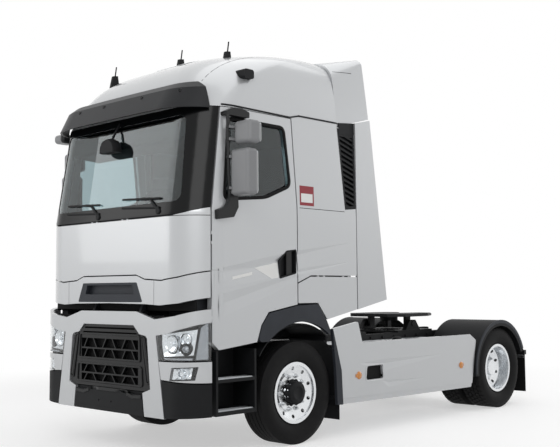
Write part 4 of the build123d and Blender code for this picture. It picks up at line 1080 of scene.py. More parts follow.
@dataclass
class Chassis(SubAssembly):
    """Frame, axles, tanks, skirts, coupling and tail."""

    skirt_y: float = 1235.0
    skirt_edge: tuple[Flat, ...] = ((-538, 342), (-518, 700), (-494, 905), (-484, 1020), (-468, 1124))
    skirt_lip: tuple[Flat, ...] = ((-480, 1122), (-546, 905), (-609, 695), (-629, 338))
    hole: tuple[Flat, ...] = ((-1318, 545), (-1012, 545), (-1012, 713), (-1318, 713))
    hole_r: float = 30.0
    bezel: tuple[Flat, ...] = ((-4, -30), (4, -30), (4, 2), (2, 4), (-2, 4), (-4, 2))
    pocket_wall: tuple[Flat, ...] = ((-4, -32), (4, -32), (4, 24), (-4, 24))
    markers: tuple[Flat, ...] = ((-898, 619), (-2886, 600))
    marker_dome: tuple[Flat, ...] = ((42, -6), (42, 4), (35, 12), (21, 17), (0, 19))
    guard: tuple[float, float, float] = (-3800.0, 507.0, 1256.0)
    guard_arc: Flat = (-4.0, 158.0)
    guard_lip: tuple[Flat, ...] = ((572, -2), (618, -2), (618, 5), (612, 8), (578, 4))
    tank_y: Flat = (500.0, 1188.0)
    tank_z: Flat = (400.0, 920.0)
    tank_r: float = 120.0
    strap_x: tuple[float, ...] = (-1700.0, -2200.0, -2720.0)
    filler: Flat = (-1950.0, 960.0)
    filler_cap: tuple[Flat, ...] = ((62, -4), (62, 14), (54, 18), (54, 44), (48, 52), (0, 54))
    step_floors: Flat = (430.0, 720.0)
    step_x: Flat = (664.0, 1104.0)
    step_y: Flat = (1096.0, 1214.0)
    step_pitch: float = 19.0
    rail_y: float = 425.0
    bolt_x: tuple[int, ...] = tuple(range(-4300, 1000, 240))
    bolt_z: Flat = (756.0, 938.0)
    rib_x: tuple[int, ...] = tuple(range(-2030, -1000, 50))
    deck_half: float = 405.0
    deck_z: float = 1008.0
    tail_x: float = -4546.0
    tail_lamp: tuple[Flat, ...] = ((690, 670), (1120, 670), (1120, 770), (690, 770))
    lamp_bars: Flat = (828.0, 972.0)
    clamp_y: tuple[float, ...] = (680.0, 835.0, 990.0, 1145.0)
    plate: tuple[Flat, ...] = ((-260, 534), (260, 534), (260, 646), (-260, 646))

    def skirt_trim(self, side: Side) -> None:
        """The slate lip on the skirt's front edge, the dark pocket and the round lamps.

        Args:
            side: The side of the vehicle.
        """
        view, word, y = side_view(side), side.word, self.skirt_y
        lip = Shape().prism(self.skirt_edge + self.skirt_lip, y - 32, y + 3, view)
        self.add(lip, f"skirt_lip_{word}", Look.SLATE, "chassis", bevel=2)
        hole = rounded(self.hole, self.hole_r)
        bezel = Shape().sweep(ring(view, hole, y), self.bezel, closed=True)
        self.add(bezel, f"skirt_pocket_frame_{word}", Look.BODY, "chassis")
        well = Shape().prism(hole, y - 62, y - 30, view)
        well.sweep(ring(view, hole, y - 30), self.pocket_wall, closed=True)
        self.add(well, f"skirt_pocket_{word}", Look.RUBBER, "chassis")
        lamps = Shape()
        for x, z in self.markers:
            lamps.lathe(self.marker_dome, view @ Matrix.Translation((x, z, y)), 32)
        self.add(lamps, f"side_marker_lenses_{word}", Look.MARKERS, "chassis")

    def guard_trim(self, side: Side) -> None:
        """The slate lip round the rear mudguard.

        Args:
            side: The side of the vehicle.
        """
        view = side_view(side) @ Matrix.Translation(self.guard)
        first, last = self.guard_arc
        angles = [math.radians(first + (last - first) * step / 60) for step in range(61)]
        lip = Shape().loft([[view @ polar(r, angle, h) for r, h in self.guard_lip] for angle in angles])
        self.add(lip, f"rear_guard_lip_{side.word}", Look.SLATE, "chassis")

    def tank_trim(self, side: Side) -> None:
        """Straps and a filler cap on the tank.

        Args:
            side: The side of the vehicle.
        """
        sign, (near, far), (low, high) = side.value, self.tank_y, self.tank_z
        outline = rounded(oblong(self.tank_y, self.tank_z), self.tank_r)
        middle = Vector((0, sign * (near + far) / 2, (low + high) / 2))
        girth = [Vector((0, sign * y, z)) for y, z in outline]
        straps = Shape()
        for x in self.strap_x:
            path = [(point + Vector((x, 0, 0)), (point - middle).normalized()) for point in girth]
            straps.sweep(path, strip(56, 5, 3), closed=True)
        self.add(straps, f"tank_straps_{side.word}", Look.STEEL, "chassis")
        x, y = self.filler
        cap = Shape().lathe(self.filler_cap, Matrix.Translation((x, sign * y, high)), 40)
        self.add(cap, f"tank_cap_{side.word}", Look.GRAINED, "chassis")

    def step_treads(self, side: Side) -> None:
        """Ribbed alloy treads in the entry steps.

        Args:
            side: The side of the vehicle.
        """
        treads = Shape()
        (back, front), (near, far) = self.step_x, self.step_y
        for floor in self.step_floors:
            treads.between(side, (back, near, floor - 2), (front, far, floor + 4))
            for row in range(6):
                y = near + 8 + row * self.step_pitch
                treads.between(side, (back + 4, y, floor + 2), (front - 4, y + 8, floor + 10))
        self.add(treads, f"step_treads_{side.word}", Look.ALLOY, "chassis", bevel=1.2)

    def rail_bolts(self) -> None:
        """Rows of flanged bolts on both frame rails, and tread ribs on the deck."""
        bolts, ribs = Shape(), Shape()
        for side in Side:
            for x in self.bolt_x:
                for z in self.bolt_z:
                    bolts.bolt(side_view(side) @ Matrix.Translation((x, z, self.rail_y)), 14)
        self.add(bolts, "rail_bolts", Look.FRAME, "chassis")
        for x in self.rib_x:
            ribs.box((x, -self.deck_half, self.deck_z), (x + 14, self.deck_half, self.deck_z + 8))
        self.add(ribs, "deck_ribs", Look.FRAME, "chassis", bevel=2)

    def tail(self) -> None:
        """Lamp frames, a blank plate with its holder, and flap clamps at the tail."""
        frames, clamps = Shape(), Shape()
        x, back = self.tail_x, Vector((-1, 0, 0))
        for side in Side:
            outline = rounded(self.tail_lamp, 14)
            path = [(Vector((x, side.value * y, z)), back) for y, z in outline]
            frames.sweep(path, strip(12, 13, 6), closed=True)
            for y in self.lamp_bars:
                frames.between(side, (x - 13, y, 672), (x - 2, y + 10, 768))
            clamps.between(side, (-4472, 604, 596), (-4446, 1226, 634))
            for y in self.clamp_y:
                at = FRONT_VIEW @ Matrix.Translation((side.value * y, 615, -4472))
                clamps.bolt(at @ Matrix.Rotation(math.pi, 4, "X"), 9)
        self.add(frames, "tail_lamp_frames", Look.LATTICE, "chassis", bevel=1)
        self.add(clamps, "mudflap_clamps", Look.STEEL, "chassis", bevel=1)
        holder = Shape().box((x - 2, -280, 520), (x + 10, 280, 668))
        self.add(holder, "plate_holder", Look.GRAINED, "chassis", bevel=3)
        sheet = Shape().prism(rounded(self.plate, 12), x - 7, x - 1, FRONT_VIEW)
        self.add(sheet, "blank_plate", Look.WHITE_VINYL_AND_HIGHLIGHT, "chassis", bevel=1)

    def build(self) -> None:
        """Model the trim of skirts, guards, tanks, steps, frame and tail."""
        for side in Side:
            self.skirt_trim(side)
            self.guard_trim(side)
            self.tank_trim(side)
            self.step_treads(side)
        self.rail_bolts()
        self.tail()

    def dress(self) -> None:
        """Paint the running gear and the skirts."""
        self.paint(Look.FRAME, "frame_rails", "frame_crossmembers", "frame_decks", "tail_beam", "front_beam")
        self.paint(Look.CASTING, "front_axle", "rear_axle", "powertrain", "tie_rod", "fifth_wheel_plate")
        self.paint(Look.CASTING, "knuckle_left", "knuckle_right")
        self.paint(Look.RUBBER, "rear_air_bellows", "rear_mudflaps")
        self.paint(Look.COOLER, "radiator_pack")
        self.paint(Look.ALLOY, "tanks_and_boxes")
        self.paint(Look.BODY, "side_skirts")
        self.paint(Look.GRAINED, "mudguards", "entry_steps")
        self.paint(Look.MARKERS, "marker_lamps")


@dataclass
class Bumper(SubAssembly):
    """Bumper, grille, and what shows behind the lamp lenses."""

    face_x: float = 1452.0
    half: float = 1246.0
    bow: float = 10.0
    flat: float = 946.0
    corner_r: float = 300.0
    lattices: tuple[tuple[Flat, ...], ...] = (
        ((-500, 872), (500, 872), (482, 1112), (-482, 1112)),
        ((-530, 642), (530, 642), (516, 818), (-516, 818)),
    )
    moulding: tuple[Flat, ...] = ((-540, 548), (-396, 538), (-258, 582), (258, 582), (396, 538), (540, 548))
    cores: tuple[Panel, ...] = (
        (((-606, 604), (606, 604)), ((-606, 1200), (606, 1200)), (60, 66)),
        (((-1340, 1170), (1340, 1170)), ((-1340, 1296), (1340, 1296)), (60, 66)),
    )
    upright: tuple[Flat, ...] = ((598, 668), (652, 690), (560, 1096), (512, 1112))
    upright_fill: Panel = (((610, 690), (640, 700)), ((524, 1092), (548, 1086)), (8, 18))
    brow: Panel = (((-470, 1136), (470, 1136)), ((-440, 1164), (440, 1164)), (6, 40))
    reflectors: tuple[Panel, ...] = (
        (((812, 930), (1188, 952)), ((784, 1128), (1226, 1180)), (34, 44)),
        (((950, 732), (1158, 742)), ((972, 826), (1178, 838)), (24, 40)),
    )
    dishes: tuple[tuple[float, float, float], ...] = ((912, 1044, 84), (1096, 1092, 54))
    fog: Flat = (1066.0, 784.0)
    fog_bowl: tuple[Flat, ...] = ((52, -20), (52, 4), (44, 6), (36, -16), (12, -26), (12, -4), (0, -2))
    projector: Flat = (1106.0, 1004.0)
    projector_ring: tuple[Flat, ...] = ((52, -24), (52, 8), (46, 12), (38, 6), (38, -24))
    projector_lens: tuple[Flat, ...] = ((38, -8), (36, 6), (28, 18), (15, 25), (0, 27))
    bezels: tuple[Panel, ...] = (
        (((836, 905), (1178, 905)), ((812, 930), (1186, 948)), (16, 60)),
        (((1180, 905), (1204, 905)), ((1228, 1186), (1254, 1196)), (16, 84)),
        (((765, 905), (812, 905)), ((745, 1120), (784, 1130)), (20, 84)),
    )
    lightguides: tuple[Panel, ...] = (
        (((1204, 908), (1336, 912)), ((1254, 1194), (1336, 1240)), (34, 42)),
        (((850, 908), (1176, 908)), ((846, 920), (1176, 926)), (12, 20)),
    )

    def at(self, s: float, z: float, depth: float) -> Vector:
        """A place behind the bumper's face.

        Args:
            s: Distance from the middle, measured along the face.
            z: Height.
            depth: Distance behind the face.

        Returns:
            The place.
        """
        if abs(s) <= self.flat:
            return Vector((self.face_x - self.bow * (s / self.half) ** 2 - depth, s, z))
        angle, reach = (abs(s) - self.flat) / self.corner_r, self.corner_r - depth
        middle = self.at(self.flat, z, self.corner_r)
        across = self.flat + reach * math.sin(angle)
        return Vector((middle.x + reach * math.cos(angle), math.copysign(across, s), z))

    def facing(self, s: float, z: float, depth: float) -> Matrix:
        """Axes of a lamp at a place behind the face, its Z pointing out."""
        place = self.at(s, z, depth)
        return looking(place, self.at(s, z, depth - 10) - place)

    def slab(self, shape: Shape, side: Side, panel: Panel) -> None:
        """Add a plate that follows the face.

        Args:
            shape: The shape that takes it.
            side: The side of the vehicle.
            panel: Its lower and upper edge, and the depths of its front and back.
        """
        low, high, (near, far) = panel
        rows = []
        for step in range(25):
            foot = Vector(low[0]).lerp(Vector(low[1]), step / 24)
            head = Vector(high[0]).lerp(Vector(high[1]), step / 24)
            corners = ((foot, near), (head, near), (head, far), (foot, far))
            rows.append([self.at(side.value * flat.x, flat.y, depth) for flat, depth in corners])
        shape.loft(rows)

    def bowl(self, shape: Shape, side: Side, panel: Panel) -> None:
        """Add a faceted reflector, a thin bowl.

        Args:
            shape: The shape that takes it.
            side: The side of the vehicle.
            panel: Its lower and upper edge, the depth of its rim and how much deeper its middle lies.
        """
        low, high, (rim, sink) = panel
        rows = []
        for step in range(13):
            u = step / 12
            foot, head = Vector(low[0]).lerp(Vector(low[1]), u), Vector(high[0]).lerp(Vector(high[1]), u)
            front, back = [], []
            for level in range(9):
                v = level / 8
                flat = foot.lerp(head, v)
                depth = rim + sink * (1 - (2 * u - 1) ** 2) * (1 - (2 * v - 1) ** 2)
                front.append(self.at(side.value * flat.x, flat.y, depth))
                back.append(self.at(side.value * flat.x, flat.y, depth + 3))
            rows.append(front + back[::-1])
        shape.loft(rows)

    def headlamp(self, side: Side) -> None:
        """Reflectors, projector, daylight bar, indicator and fog lamp.

        Args:
            side: The side of the vehicle.
        """
        word, sign = side.word, side.value
        chrome, dark, guides = Shape(), Shape(), Shape()
        for panel in self.reflectors:
            self.bowl(chrome, side, panel)
        for s, z, r in self.dishes:
            bulb = r * 0.22
            dish = [(r, 0), (r - 5, 3), (r * 0.78, -14), (r * 0.45, -30), (bulb, -34), (bulb, 6), (0, 9)]
            chrome.lathe(dish, self.facing(sign * s, z, 44), 36)
        s, z = self.fog
        chrome.lathe(self.fog_bowl, self.facing(sign * s, z, 40), 32)
        self.add(chrome, f"lamp_reflectors_{word}", Look.CHROME, "chassis", smooth=14)
        s, z = self.projector
        eye = self.facing(sign * s, z, 36)
        dark.lathe(self.projector_ring, eye, 40)
        for panel in self.bezels:
            self.slab(dark, side, panel)
        self.add(dark, f"lamp_bezels_{word}", Look.GRAINED, "chassis")
        guides.lathe(self.projector_lens, eye, 36)
        for panel in self.lightguides:
            self.slab(guides, side, panel)
        self.add(guides, f"lamp_lightguides_{word}", Look.SMOKED, "chassis")

    def grille(self) -> None:
        """A dark core behind the lattice, lattice frames, uprights and lips."""
        core, frames = Shape(), Shape()
        for panel in self.cores:
            self.slab(core, Side.LEFT, panel)
        self.add(core, "grille_core", Look.RUBBER, "chassis")
        ahead = Vector((1, 0, 0))
        for outline in self.lattices:
            path = [(self.at(s, z, 14), ahead) for s, z in rounded(outline, 26)]
            frames.sweep(path, strip(20, 12, 8), closed=True)
        for side in Side:
            path = [(self.at(side.value * s, z, 14), ahead) for s, z in rounded(self.upright, 14)]
            frames.sweep(path, strip(12, 10, 6), closed=True)
            self.slab(frames, side, self.upright_fill)
        self.slab(frames, Side.LEFT, self.brow)
        self.add(frames, "grille_frames", Look.LATTICE, "chassis", bevel=1.5)
        skirt = Surface("bumper_skirt")
        path = [skirt.from_front(s, z) for s, z in dense(self.moulding, 12)]
        self.add(Shape().sweep(path, strip(30, 9, 4)), "skirt_bead", Look.LATTICE, "chassis")

    def build(self) -> None:
        """Model the lamps and the grille."""
        for side in Side:
            self.headlamp(side)
        self.grille()

    def dress(self) -> None:
        """Paint the bumper's pieces."""
        self.paint(Look.BODY, "bumper_frame")
        self.paint(Look.GRAINED, "bumper_skirt", "lamp_housings")
        self.paint(Look.LENS, "lamp_lenses")
        self.paint(Look.LATTICE, "front_grille")


@dataclass
class Cab(SubAssembly):
    """The cab's shell, glass and outer trim."""

    gutter: tuple[Flat, ...] = ((1032, 3268), (132, 3258), (-3, 3290), (-617, 3293))
    panel_seam: tuple[Flat, ...] = ((15, 2352), (-690, 2352))
    hood_seam: tuple[Flat, ...] = ((-640, 3872), (-900, 3884))
    red: tuple[Flat, ...] = ((9, 2380), (-204, 2380), (-204, 2580), (9, 2580))
    white: tuple[Flat, ...] = ((-11, 2412), (-184, 2412), (-184, 2502), (-11, 2502))
    vent_head: tuple[Flat, ...] = ((-630, 3180), (-630, 3300), (-884, 3326), (-884, 3200))
    vent_y: Flat = (1100.0, 1217.0)
    seal_x: Flat = (-790.0, -60.0)
    seal_y: Flat = (1176.0, 1190.0)
    seal_half: float = 40.0
    lid_gap: float = 6.0
    roof_seam_x: Flat = (1080.0, -560.0)
    roof_seam_y: float = 960.0
    hatch_rim: tuple[Flat, ...] = ((80, -330), (640, -330), (640, 330), (80, 330))
    hatch_x: float = 88.0
    hatch_length: float = 544.0
    hatch_half: float = 320.0
    visor_z: float = 3395.0
    visor_dots: tuple[float, ...] = (-644.0, -208.0, 409.0, 928.0)
    visor_dot: tuple[Flat, ...] = ((20, -4), (20, 2), (15, 6), (12, 3), (0, 3))
    wiper_y: Flat = (-190.0, 757.0)
    wiper_arm: tuple[Flat, ...] = ((0, 2262), (-30, 2300), (-150, 2392), (-250, 2402))
    wiper_blade: tuple[Flat, ...] = ((-560, 2412), (10, 2388))
    pivot_z: float = 2266.0
    pivot: tuple[Flat, ...] = ((30, -6), (30, 9), (24, 15), (0, 16))
    apron_half: float = 1130.0
    apron_x: Flat = (1288.0, 1296.0)
    apron_z: Flat = (1335.0, 1500.0)

    def side_trim(self, side: Side) -> None:
        """Rain gutter, seams, sticker and the head of the air vent on one side.

        Args:
            side: The side of the vehicle.
        """
        word = side.word
        wall = Surface("cab_side_panels", "roof_shell", "air_fairings")
        rail, seams = Shape(), Shape()
        rail.sweep([wall.from_side(side, x, z) for x, z in dense(self.gutter, 14)], strip(16, 9, 4))
        self.add(rail, f"rain_gutter_{word}", Look.GRAINED, "cab")
        for line in (self.panel_seam, self.hood_seam):
            seams.sweep([wall.from_side(side, x, z) for x, z in dense(line, 14)], strip(6, 0.8, 2))
        self.add(seams, f"panel_seams_{word}", Look.RUBBER, "cab")
        head = Shape().prism(self.vent_head, *self.vent_y, side_view(side))
        self.add(head, f"vent_head_{word}", Look.GRAINED, "cab")
        _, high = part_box(f"locker_lid_{word}")
        gap = high[2] * 1000 + self.lid_gap
        (back, front), (near, far) = self.seal_x, self.seal_y
        seal = Shape().between(side, (back, near, gap - self.seal_half), (front, far, gap + self.seal_half))
        self.add(seal, f"locker_seal_{word}", Look.RUBBER, "cab", bevel=2)
        if side is Side.LEFT:
            self.add(wall.plate(side, self.red, 0.8), "blank_sticker", Look.STICKER_RED, "cab")
            self.add(wall.plate(side, self.white, 1.4), "blank_sticker_field", Look.WHITE_VINYL_AND_HIGHLIGHT, "cab")

    def roof_trim(self) -> None:
        """Roof seams, the hatch and the dark dots on the visor."""
        roof, visor = Surface("roof_shell"), Surface("sun_visor")
        seams, dots = Shape(), Shape()
        for side in Side:
            line = [(x, side.value * self.roof_seam_y) for x in self.roof_seam_x]
            seams.sweep([roof.from_above(x, y) for x, y in dense(line, 24)], strip(6, 0.8, 2))
        self.add(seams, "roof_seams", Look.RUBBER, "cab")
        path = [roof.from_above(x, y) for x, y in rounded(self.hatch_rim, 60)]
        self.add(Shape().sweep(path, strip(16, 12, 4), closed=True), "hatch_seal", Look.RUBBER, "cab")
        rows = []
        for step in range(13):
            x = self.hatch_x + self.hatch_length * step / 12
            half = self.hatch_half - (40 if step in (0, 12) else 0)
            landed = [roof.from_above(x, half * (k / 6 - 1)) for k in range(13)]
            rise = [18 + 10 * math.sin(math.pi * k / 12) * math.sin(math.pi * step / 12) for k in range(13)]
            upper = [point + Vector((0, 0, h)) for (point, _), h in zip(landed, rise)]
            rows.append(upper + [point - Vector((0, 0, 2)) for point, _ in reversed(landed)])
        self.add(Shape().loft(rows), "roof_hatch", Look.BODY, "cab")
        for y in self.visor_dots:
            dots.lathe(self.visor_dot, looking(*visor.from_front(y, self.visor_z)), 24)
        self.add(dots, "visor_lamps", Look.GLOSS_BLACK, "cab")

    def wipers(self) -> None:
        """Wiper arms with pivots, blades and their rubber edges."""
        screen = Surface("windscreen", "windscreen_frame")
        arms, edges = Shape(), Shape()
        for y in self.wiper_y:
            arm = [screen.from_front(y + a, z) for a, z in dense(self.wiper_arm, 5)]
            blade = [screen.from_front(y + a, z) for a, z in dense(self.wiper_blade, 14)]
            arms.sweep([(point + up * 8, up) for point, up in arm], strip(26, 8, 8))
            arms.lathe(self.pivot, looking(*screen.from_front(y, self.pivot_z)), 28)
            arms.sweep([(point + up * 16, up) for point, up in blade], strip(18, 7, 7))
            edges.sweep([(point + up * 5, up) for point, up in blade], strip(7, 6, 4))
        self.add(arms, "wiper_arms", Look.GRAINED, "cab")
        self.add(edges, "wiper_edges", Look.RUBBER, "cab")

    def apron(self) -> None:
        """The rubber apron that hangs below the cab's front, with its folded foot."""
        half, (back, front), (low, high) = self.apron_half, self.apron_x, self.apron_z
        sheet = Shape().box((back, -half, low), (front, half, high))
        sheet.box((back - 8, -half, low), (front, half, low + 12))
        self.add(sheet, "cab_apron", Look.RUBBER, "cab", bevel=2)

    def build(self) -> None:
        """Model the outer trim."""
        for side in Side:
            self.side_trim(side)
        self.roof_trim()
        self.wipers()
        self.apron()

    def dress(self) -> None:
        """Paint the cab's pieces."""
        self.paint(Look.BODY, "cab_side_panels", "roof_shell", "air_fairings")
        self.paint(Look.BODY, "cab_lower_front", "front_flap")
        self.paint(Look.CAB_INNER, "cab_floor", "cab_rear_wall")
        self.paint(Look.GRAINED, "intake_vents", "wipers_and_antennas")
        self.paint(Look.GLOSS_BLACK, "windscreen_frame")
        self.paint(Look.GLASS, "windscreen")
        self.paint(Look.SLATE, "cab_wheel_arches", "cab_intake")
        self.paint(Look.VISOR, "sun_visor")
        for side in Side:
            self.paint(Look.BODY, f"locker_lid_{side.word}")


@dataclass
class Doors(SubAssembly):
    """Doors with their seals, handles, bare badge plates and mirrors."""

    wall_y: float = 1235.0
    bend_z: float = 2247.0
    lean: float = 21 / 1003
    window: tuple[Flat, ...] = ((1046, 2372), (497, 2424), (150, 2562), (226, 3140), (972, 3140))
    seal: tuple[Flat, ...] = ((-16, -8), (16, -8), (16, 3), (10, 6), (-10, 6), (-16, 3))
    pocket: tuple[Flat, ...] = ((316, 1814), (212, 1910), (78, 1926), (82, 1697), (312, 1646))
    pocket_y: Flat = (1194.0, 1199.0)
    pocket_rim: tuple[Flat, ...] = ((-7, -38), (7, -38), (7, 2), (3, 4), (-3, 4), (-7, 2))
    grip: tuple[Flat, ...] = ((212, 1640), (212, 1908), (136, 1926), (136, 1656))
    grip_y: Flat = (1208.0, 1231.0)
    # A white plate that paints the highlight on the facet of the door's crease; it is no real part.
    painted_highlight: tuple[Flat, ...] = ((426, 1640), (330, 1652), (330, 1800), (640, 1742))
    badge: tuple[Flat, ...] = ((1150, 1532), (450, 1640), (772, 1770), (1150, 1704))
    plate: tuple[Flat, ...] = ((945, 1628), (686, 1674), (682, 1702), (943, 1656))
    glasses: tuple[tuple[float, Flat, Flat], ...] = (
        (880, (1302, 1510), (2418, 2812)),
        (838, (1312, 1510), (2896, 3080)),
    )

    def window_seal(self, side: Side) -> Shape:
        """The rubber round the window, on the door's leaning upper wall.

        Args:
            side: The side of the vehicle.

        Returns:
            The seal's shape.
        """
        out, path = Vector((0, side.value, 0)), []
        for x, z in rounded(self.window, 60):
            y = self.wall_y - max(0.0, z - self.bend_z) * self.lean
            path.append((Vector((x, side.value * y, z)), out))
        return Shape().sweep(path, self.seal, closed=True)

    def handle(self, side: Side) -> None:
        """A dark liner in the handle's pocket and a grip over its bar.

        Args:
            side: The side of the vehicle.
        """
        view, outline = side_view(side), rounded(self.pocket, 12)
        liner = Shape().prism(outline, *self.pocket_y, view)
        liner.sweep(ring(view, outline, self.wall_y), self.pocket_rim, closed=True)
        self.add(liner, f"handle_liner_{side.word}", Look.GRAINED, f"door_{side.word}")
        bar = Shape().prism(rounded(self.grip, 10), *self.grip_y, view)
        self.add(bar, f"handle_grip_{side.word}", Look.LATTICE, f"door_{side.word}", bevel=4)

    def build(self) -> None:
        """Model seals, handles, plates, a white plate that paints a highlight, and mirror glass."""
        for side in Side:
            word, body = side.word, f"door_{side.word}"
            door, panes = Surface(body), Shape()
            self.add(self.window_seal(side), f"window_seal_{word}", Look.RUBBER, body)
            self.handle(side)
            self.add(door.plate(side, self.badge, 1.5, 14), f"badge_panel_{word}", Look.BODY, body)
            # A white plate painted where the door's crease facet shows a highlight.
            self.add(door.plate(side, self.painted_highlight, 1.5, 8), f"door_painted_highlight_{word}", Look.WHITE_VINYL_AND_HIGHLIGHT, body)
            self.add(door.plate(side, self.plate, 6.0, 8), f"bare_badge_{word}", Look.WHITE_VINYL_AND_HIGHLIGHT, body)
            for x, (near, far), up in self.glasses:
                outline = oblong((side.value * near, side.value * far), up)
                panes.prism(rounded(outline, 26), x - 3, x + 2, FRONT_VIEW)
            self.add(panes, f"mirror_glass_{word}", Look.MIRROR, body)

    def dress(self) -> None:
        """Paint the doors and their mirrors."""
        for side in Side:
            self.paint(Look.BODY, f"door_{side.word}")
            self.paint(Look.GLASS, f"door_glass_{side.word}")
            self.paint(Look.MIRROR_CASE, f"door_mirrors_{side.word}")


@dataclass
class Interior(SubAssembly):
    """Seats, bunk and dashboard fittings behind the glass."""

    seat_y: float = 620.0
    cushion: tuple[float, float, float] = (262.0, 242.0, 72.0)
    backrest: tuple[float, float, float] = (66.0, 222.0, 330.0)
    headrest: tuple[float, float, float] = (48.0, 140.0, 78.0)
    recline: float = -8.0
    pedestal: tuple[Flat, ...] = ((440, 1600), (770, 1600), (800, 1880), (420, 1880))
    foot: tuple[Flat, ...] = ((420, 1560), (790, 1560), (790, 1610), (420, 1610))
    post: tuple[Flat, ...] = ((16, 0), (16, 150), (0, 152))
    mattress: tuple[float, float, float] = (345.0, 1070.0, 78.0)
    pillow: tuple[float, float, float] = (230.0, 200.0, 52.0)
    bunk_fronts: tuple[float, ...] = (-540.0, 0.0, 540.0)
    hood: tuple[Flat, ...] = (
        (905, 2178), (935, 2270), (1010, 2300), (1110, 2290), (1110, 2210), (1000, 2180)
    )
    hood_y: Flat = (420.0, 780.0)
    binnacle: tuple[Flat, ...] = ((868, 2060), (900, 2200), (960, 2240), (1010, 2200), (980, 2060))
    binnacle_y: Flat = (-180.0, 330.0)
    vents: tuple[float, ...] = (-860.0, -480.0, 860.0)
    dials: tuple[Flat, ...] = ((-160, -36), (160, -36), (160, 40), (-160, 40))
    screen: tuple[Flat, ...] = ((-150, -52), (150, -52), (150, 52), (-150, 52))
    wall_y: float = 1140.0
    ceiling_z: float = 3182.0
    shelf: tuple[Flat, ...] = ((1130, 2990), (1160, 3180), (720, 3180), (780, 2960))
    shelf_half: float = 1090.0
    shelf_doors: tuple[float, ...] = (-760.0, 0.0, 760.0)

    def seat(self, side: Side) -> None:
        """A seat with cushion, back and headrest on its pedestal.

        Args:
            side: The side of the vehicle.
        """
        word, y = side.word, side.value * self.seat_y
        lean = Matrix.Translation((340, y, 2320)) @ Matrix.Rotation(math.radians(self.recline), 4, "Y")
        parts = (
            ("cushion", Matrix.Translation((600, y, 1965)), self.cushion, (-120.0, 120.0)),
            ("back", lean, self.backrest, (-110.0, 110.0)),
            ("headrest", lean @ Matrix.Translation((0, 0, 400)), self.headrest, ()),
        )
        for name, place, half, seams in parts:
            pad = Shape().cushion(place, half, seams)
            made = self.add(pad, f"seat_{name}_{word}", Look.SEAT, "cab", smooth=80)
            if name == "cushion" and side is Side.LEFT:
                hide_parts("seats")
        view = Matrix.Translation((0, y, 0)) @ side_view(Side.LEFT)
        base = Shape().prism(rounded(self.pedestal, 40), -165, 165, view)
        base.prism(rounded(self.foot, 14), -190, 190, view)
        for across in (60, -60):
            base.lathe(self.post, lean @ Matrix.Translation((0, across, 280)), 16)
        self.add(base, f"seat_pedestal_{word}", Look.DASH, "cab", bevel=6)

    def bunk(self) -> None:
        """The mattress, pillow and base at the back of the cab."""
        mattress = Shape().cushion(Matrix.Translation((-480, 0, 1985)), self.mattress, self.bunk_fronts)
        made = self.add(mattress, "bunk_mattress", Look.SEAT, "cab", smooth=80)
        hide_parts("bunk")
        pillow = Shape().cushion(Matrix.Translation((-520, 820, 2105)), self.pillow, ())
        self.add(pillow, "bunk_pillow", Look.SEAT, "cab", smooth=80)
        base = Shape().box((-826, -1076, 1562), (-140, 1076, 1910))
        for y in self.bunk_fronts:
            base.box((-142, y - 240, 1620), (-128, y + 240, 1870))
        self.add(base, "bunk_base", Look.CAB_INNER, "cab", bevel=8)

    def dash_fittings(self) -> None:
        """Instrument hood, screens, vents and a centre binnacle."""
        fittings, screens = Shape(), Shape()
        fittings.prism(rounded(self.hood, 18), *self.hood_y, side_view(Side.LEFT))
        fittings.prism(rounded(self.binnacle, 16), *self.binnacle_y, side_view(Side.LEFT))
        for y in self.vents:
            fittings.box((878, y - 80, 2108), (930, y + 80, 2168))
            for step in range(4):
                fittings.box((868, y - 70, 2114 + 14 * step), (890, y + 70, 2120 + 14 * step))
        faces = ((self.dials, (915, 600, 2226), -18, -4), (self.screen, (879, 75, 2132), -13, -6))
        for outline, place, slope, back in faces:
            tilt = Matrix.Translation(place) @ Matrix.Rotation(math.radians(slope), 4, "Y") @ FRONT_VIEW
            screens.prism(rounded(outline, 12), back, 4, tilt)
        self.add(fittings, "dash_fittings", Look.DASH, "cab", bevel=3)
        self.add(screens, "dash_screens", Look.GLOSS_BLACK, "cab", bevel=1.5)

    def lining(self) -> None:
        """Trim panels on walls, doors and ceiling, and the shelf above the windscreen."""
        wall, top = self.wall_y, self.ceiling_z
        trim = Shape().box((-812, -wall, 2070), (-804, wall, top + 8))
        trim.box((-810, -wall, top), (1060, wall, top + 10))
        for side in Side:
            trim.between(side, (-806, wall, 1570), (20, wall + 10, top + 6))
            card = Shape().between(side, (96, 1150, 1640), (1000, 1162, 2350))
            card.between(side, (200, 1090, 2010), (720, 1156, 2060))
            self.add(card, f"door_card_{side.word}", Look.DASH, f"door_{side.word}", bevel=4)
        self.add(trim, "cab_lining", Look.CAB_INNER, "cab", bevel=3)
        outline = rounded(self.shelf, 30)
        shelf = Shape().prism(outline, -self.shelf_half, self.shelf_half, side_view(Side.LEFT))
        for y in self.shelf_doors:
            shelf.box((752, y - 330, 3000), (766, y + 330, 3150))
        self.add(shelf, "overhead_shelf", Look.DASH, "cab", bevel=5)

    def build(self) -> None:
        """Model seats, bunk, dash fittings and lining."""
        self.lining()
        for side in Side:
            self.seat(side)
        self.bunk()
        self.dash_fittings()

    def dress(self) -> None:
        """Cover the dashboard and the steering wheel."""
        self.paint(Look.DASH, "dashboard", "steering_wheel")


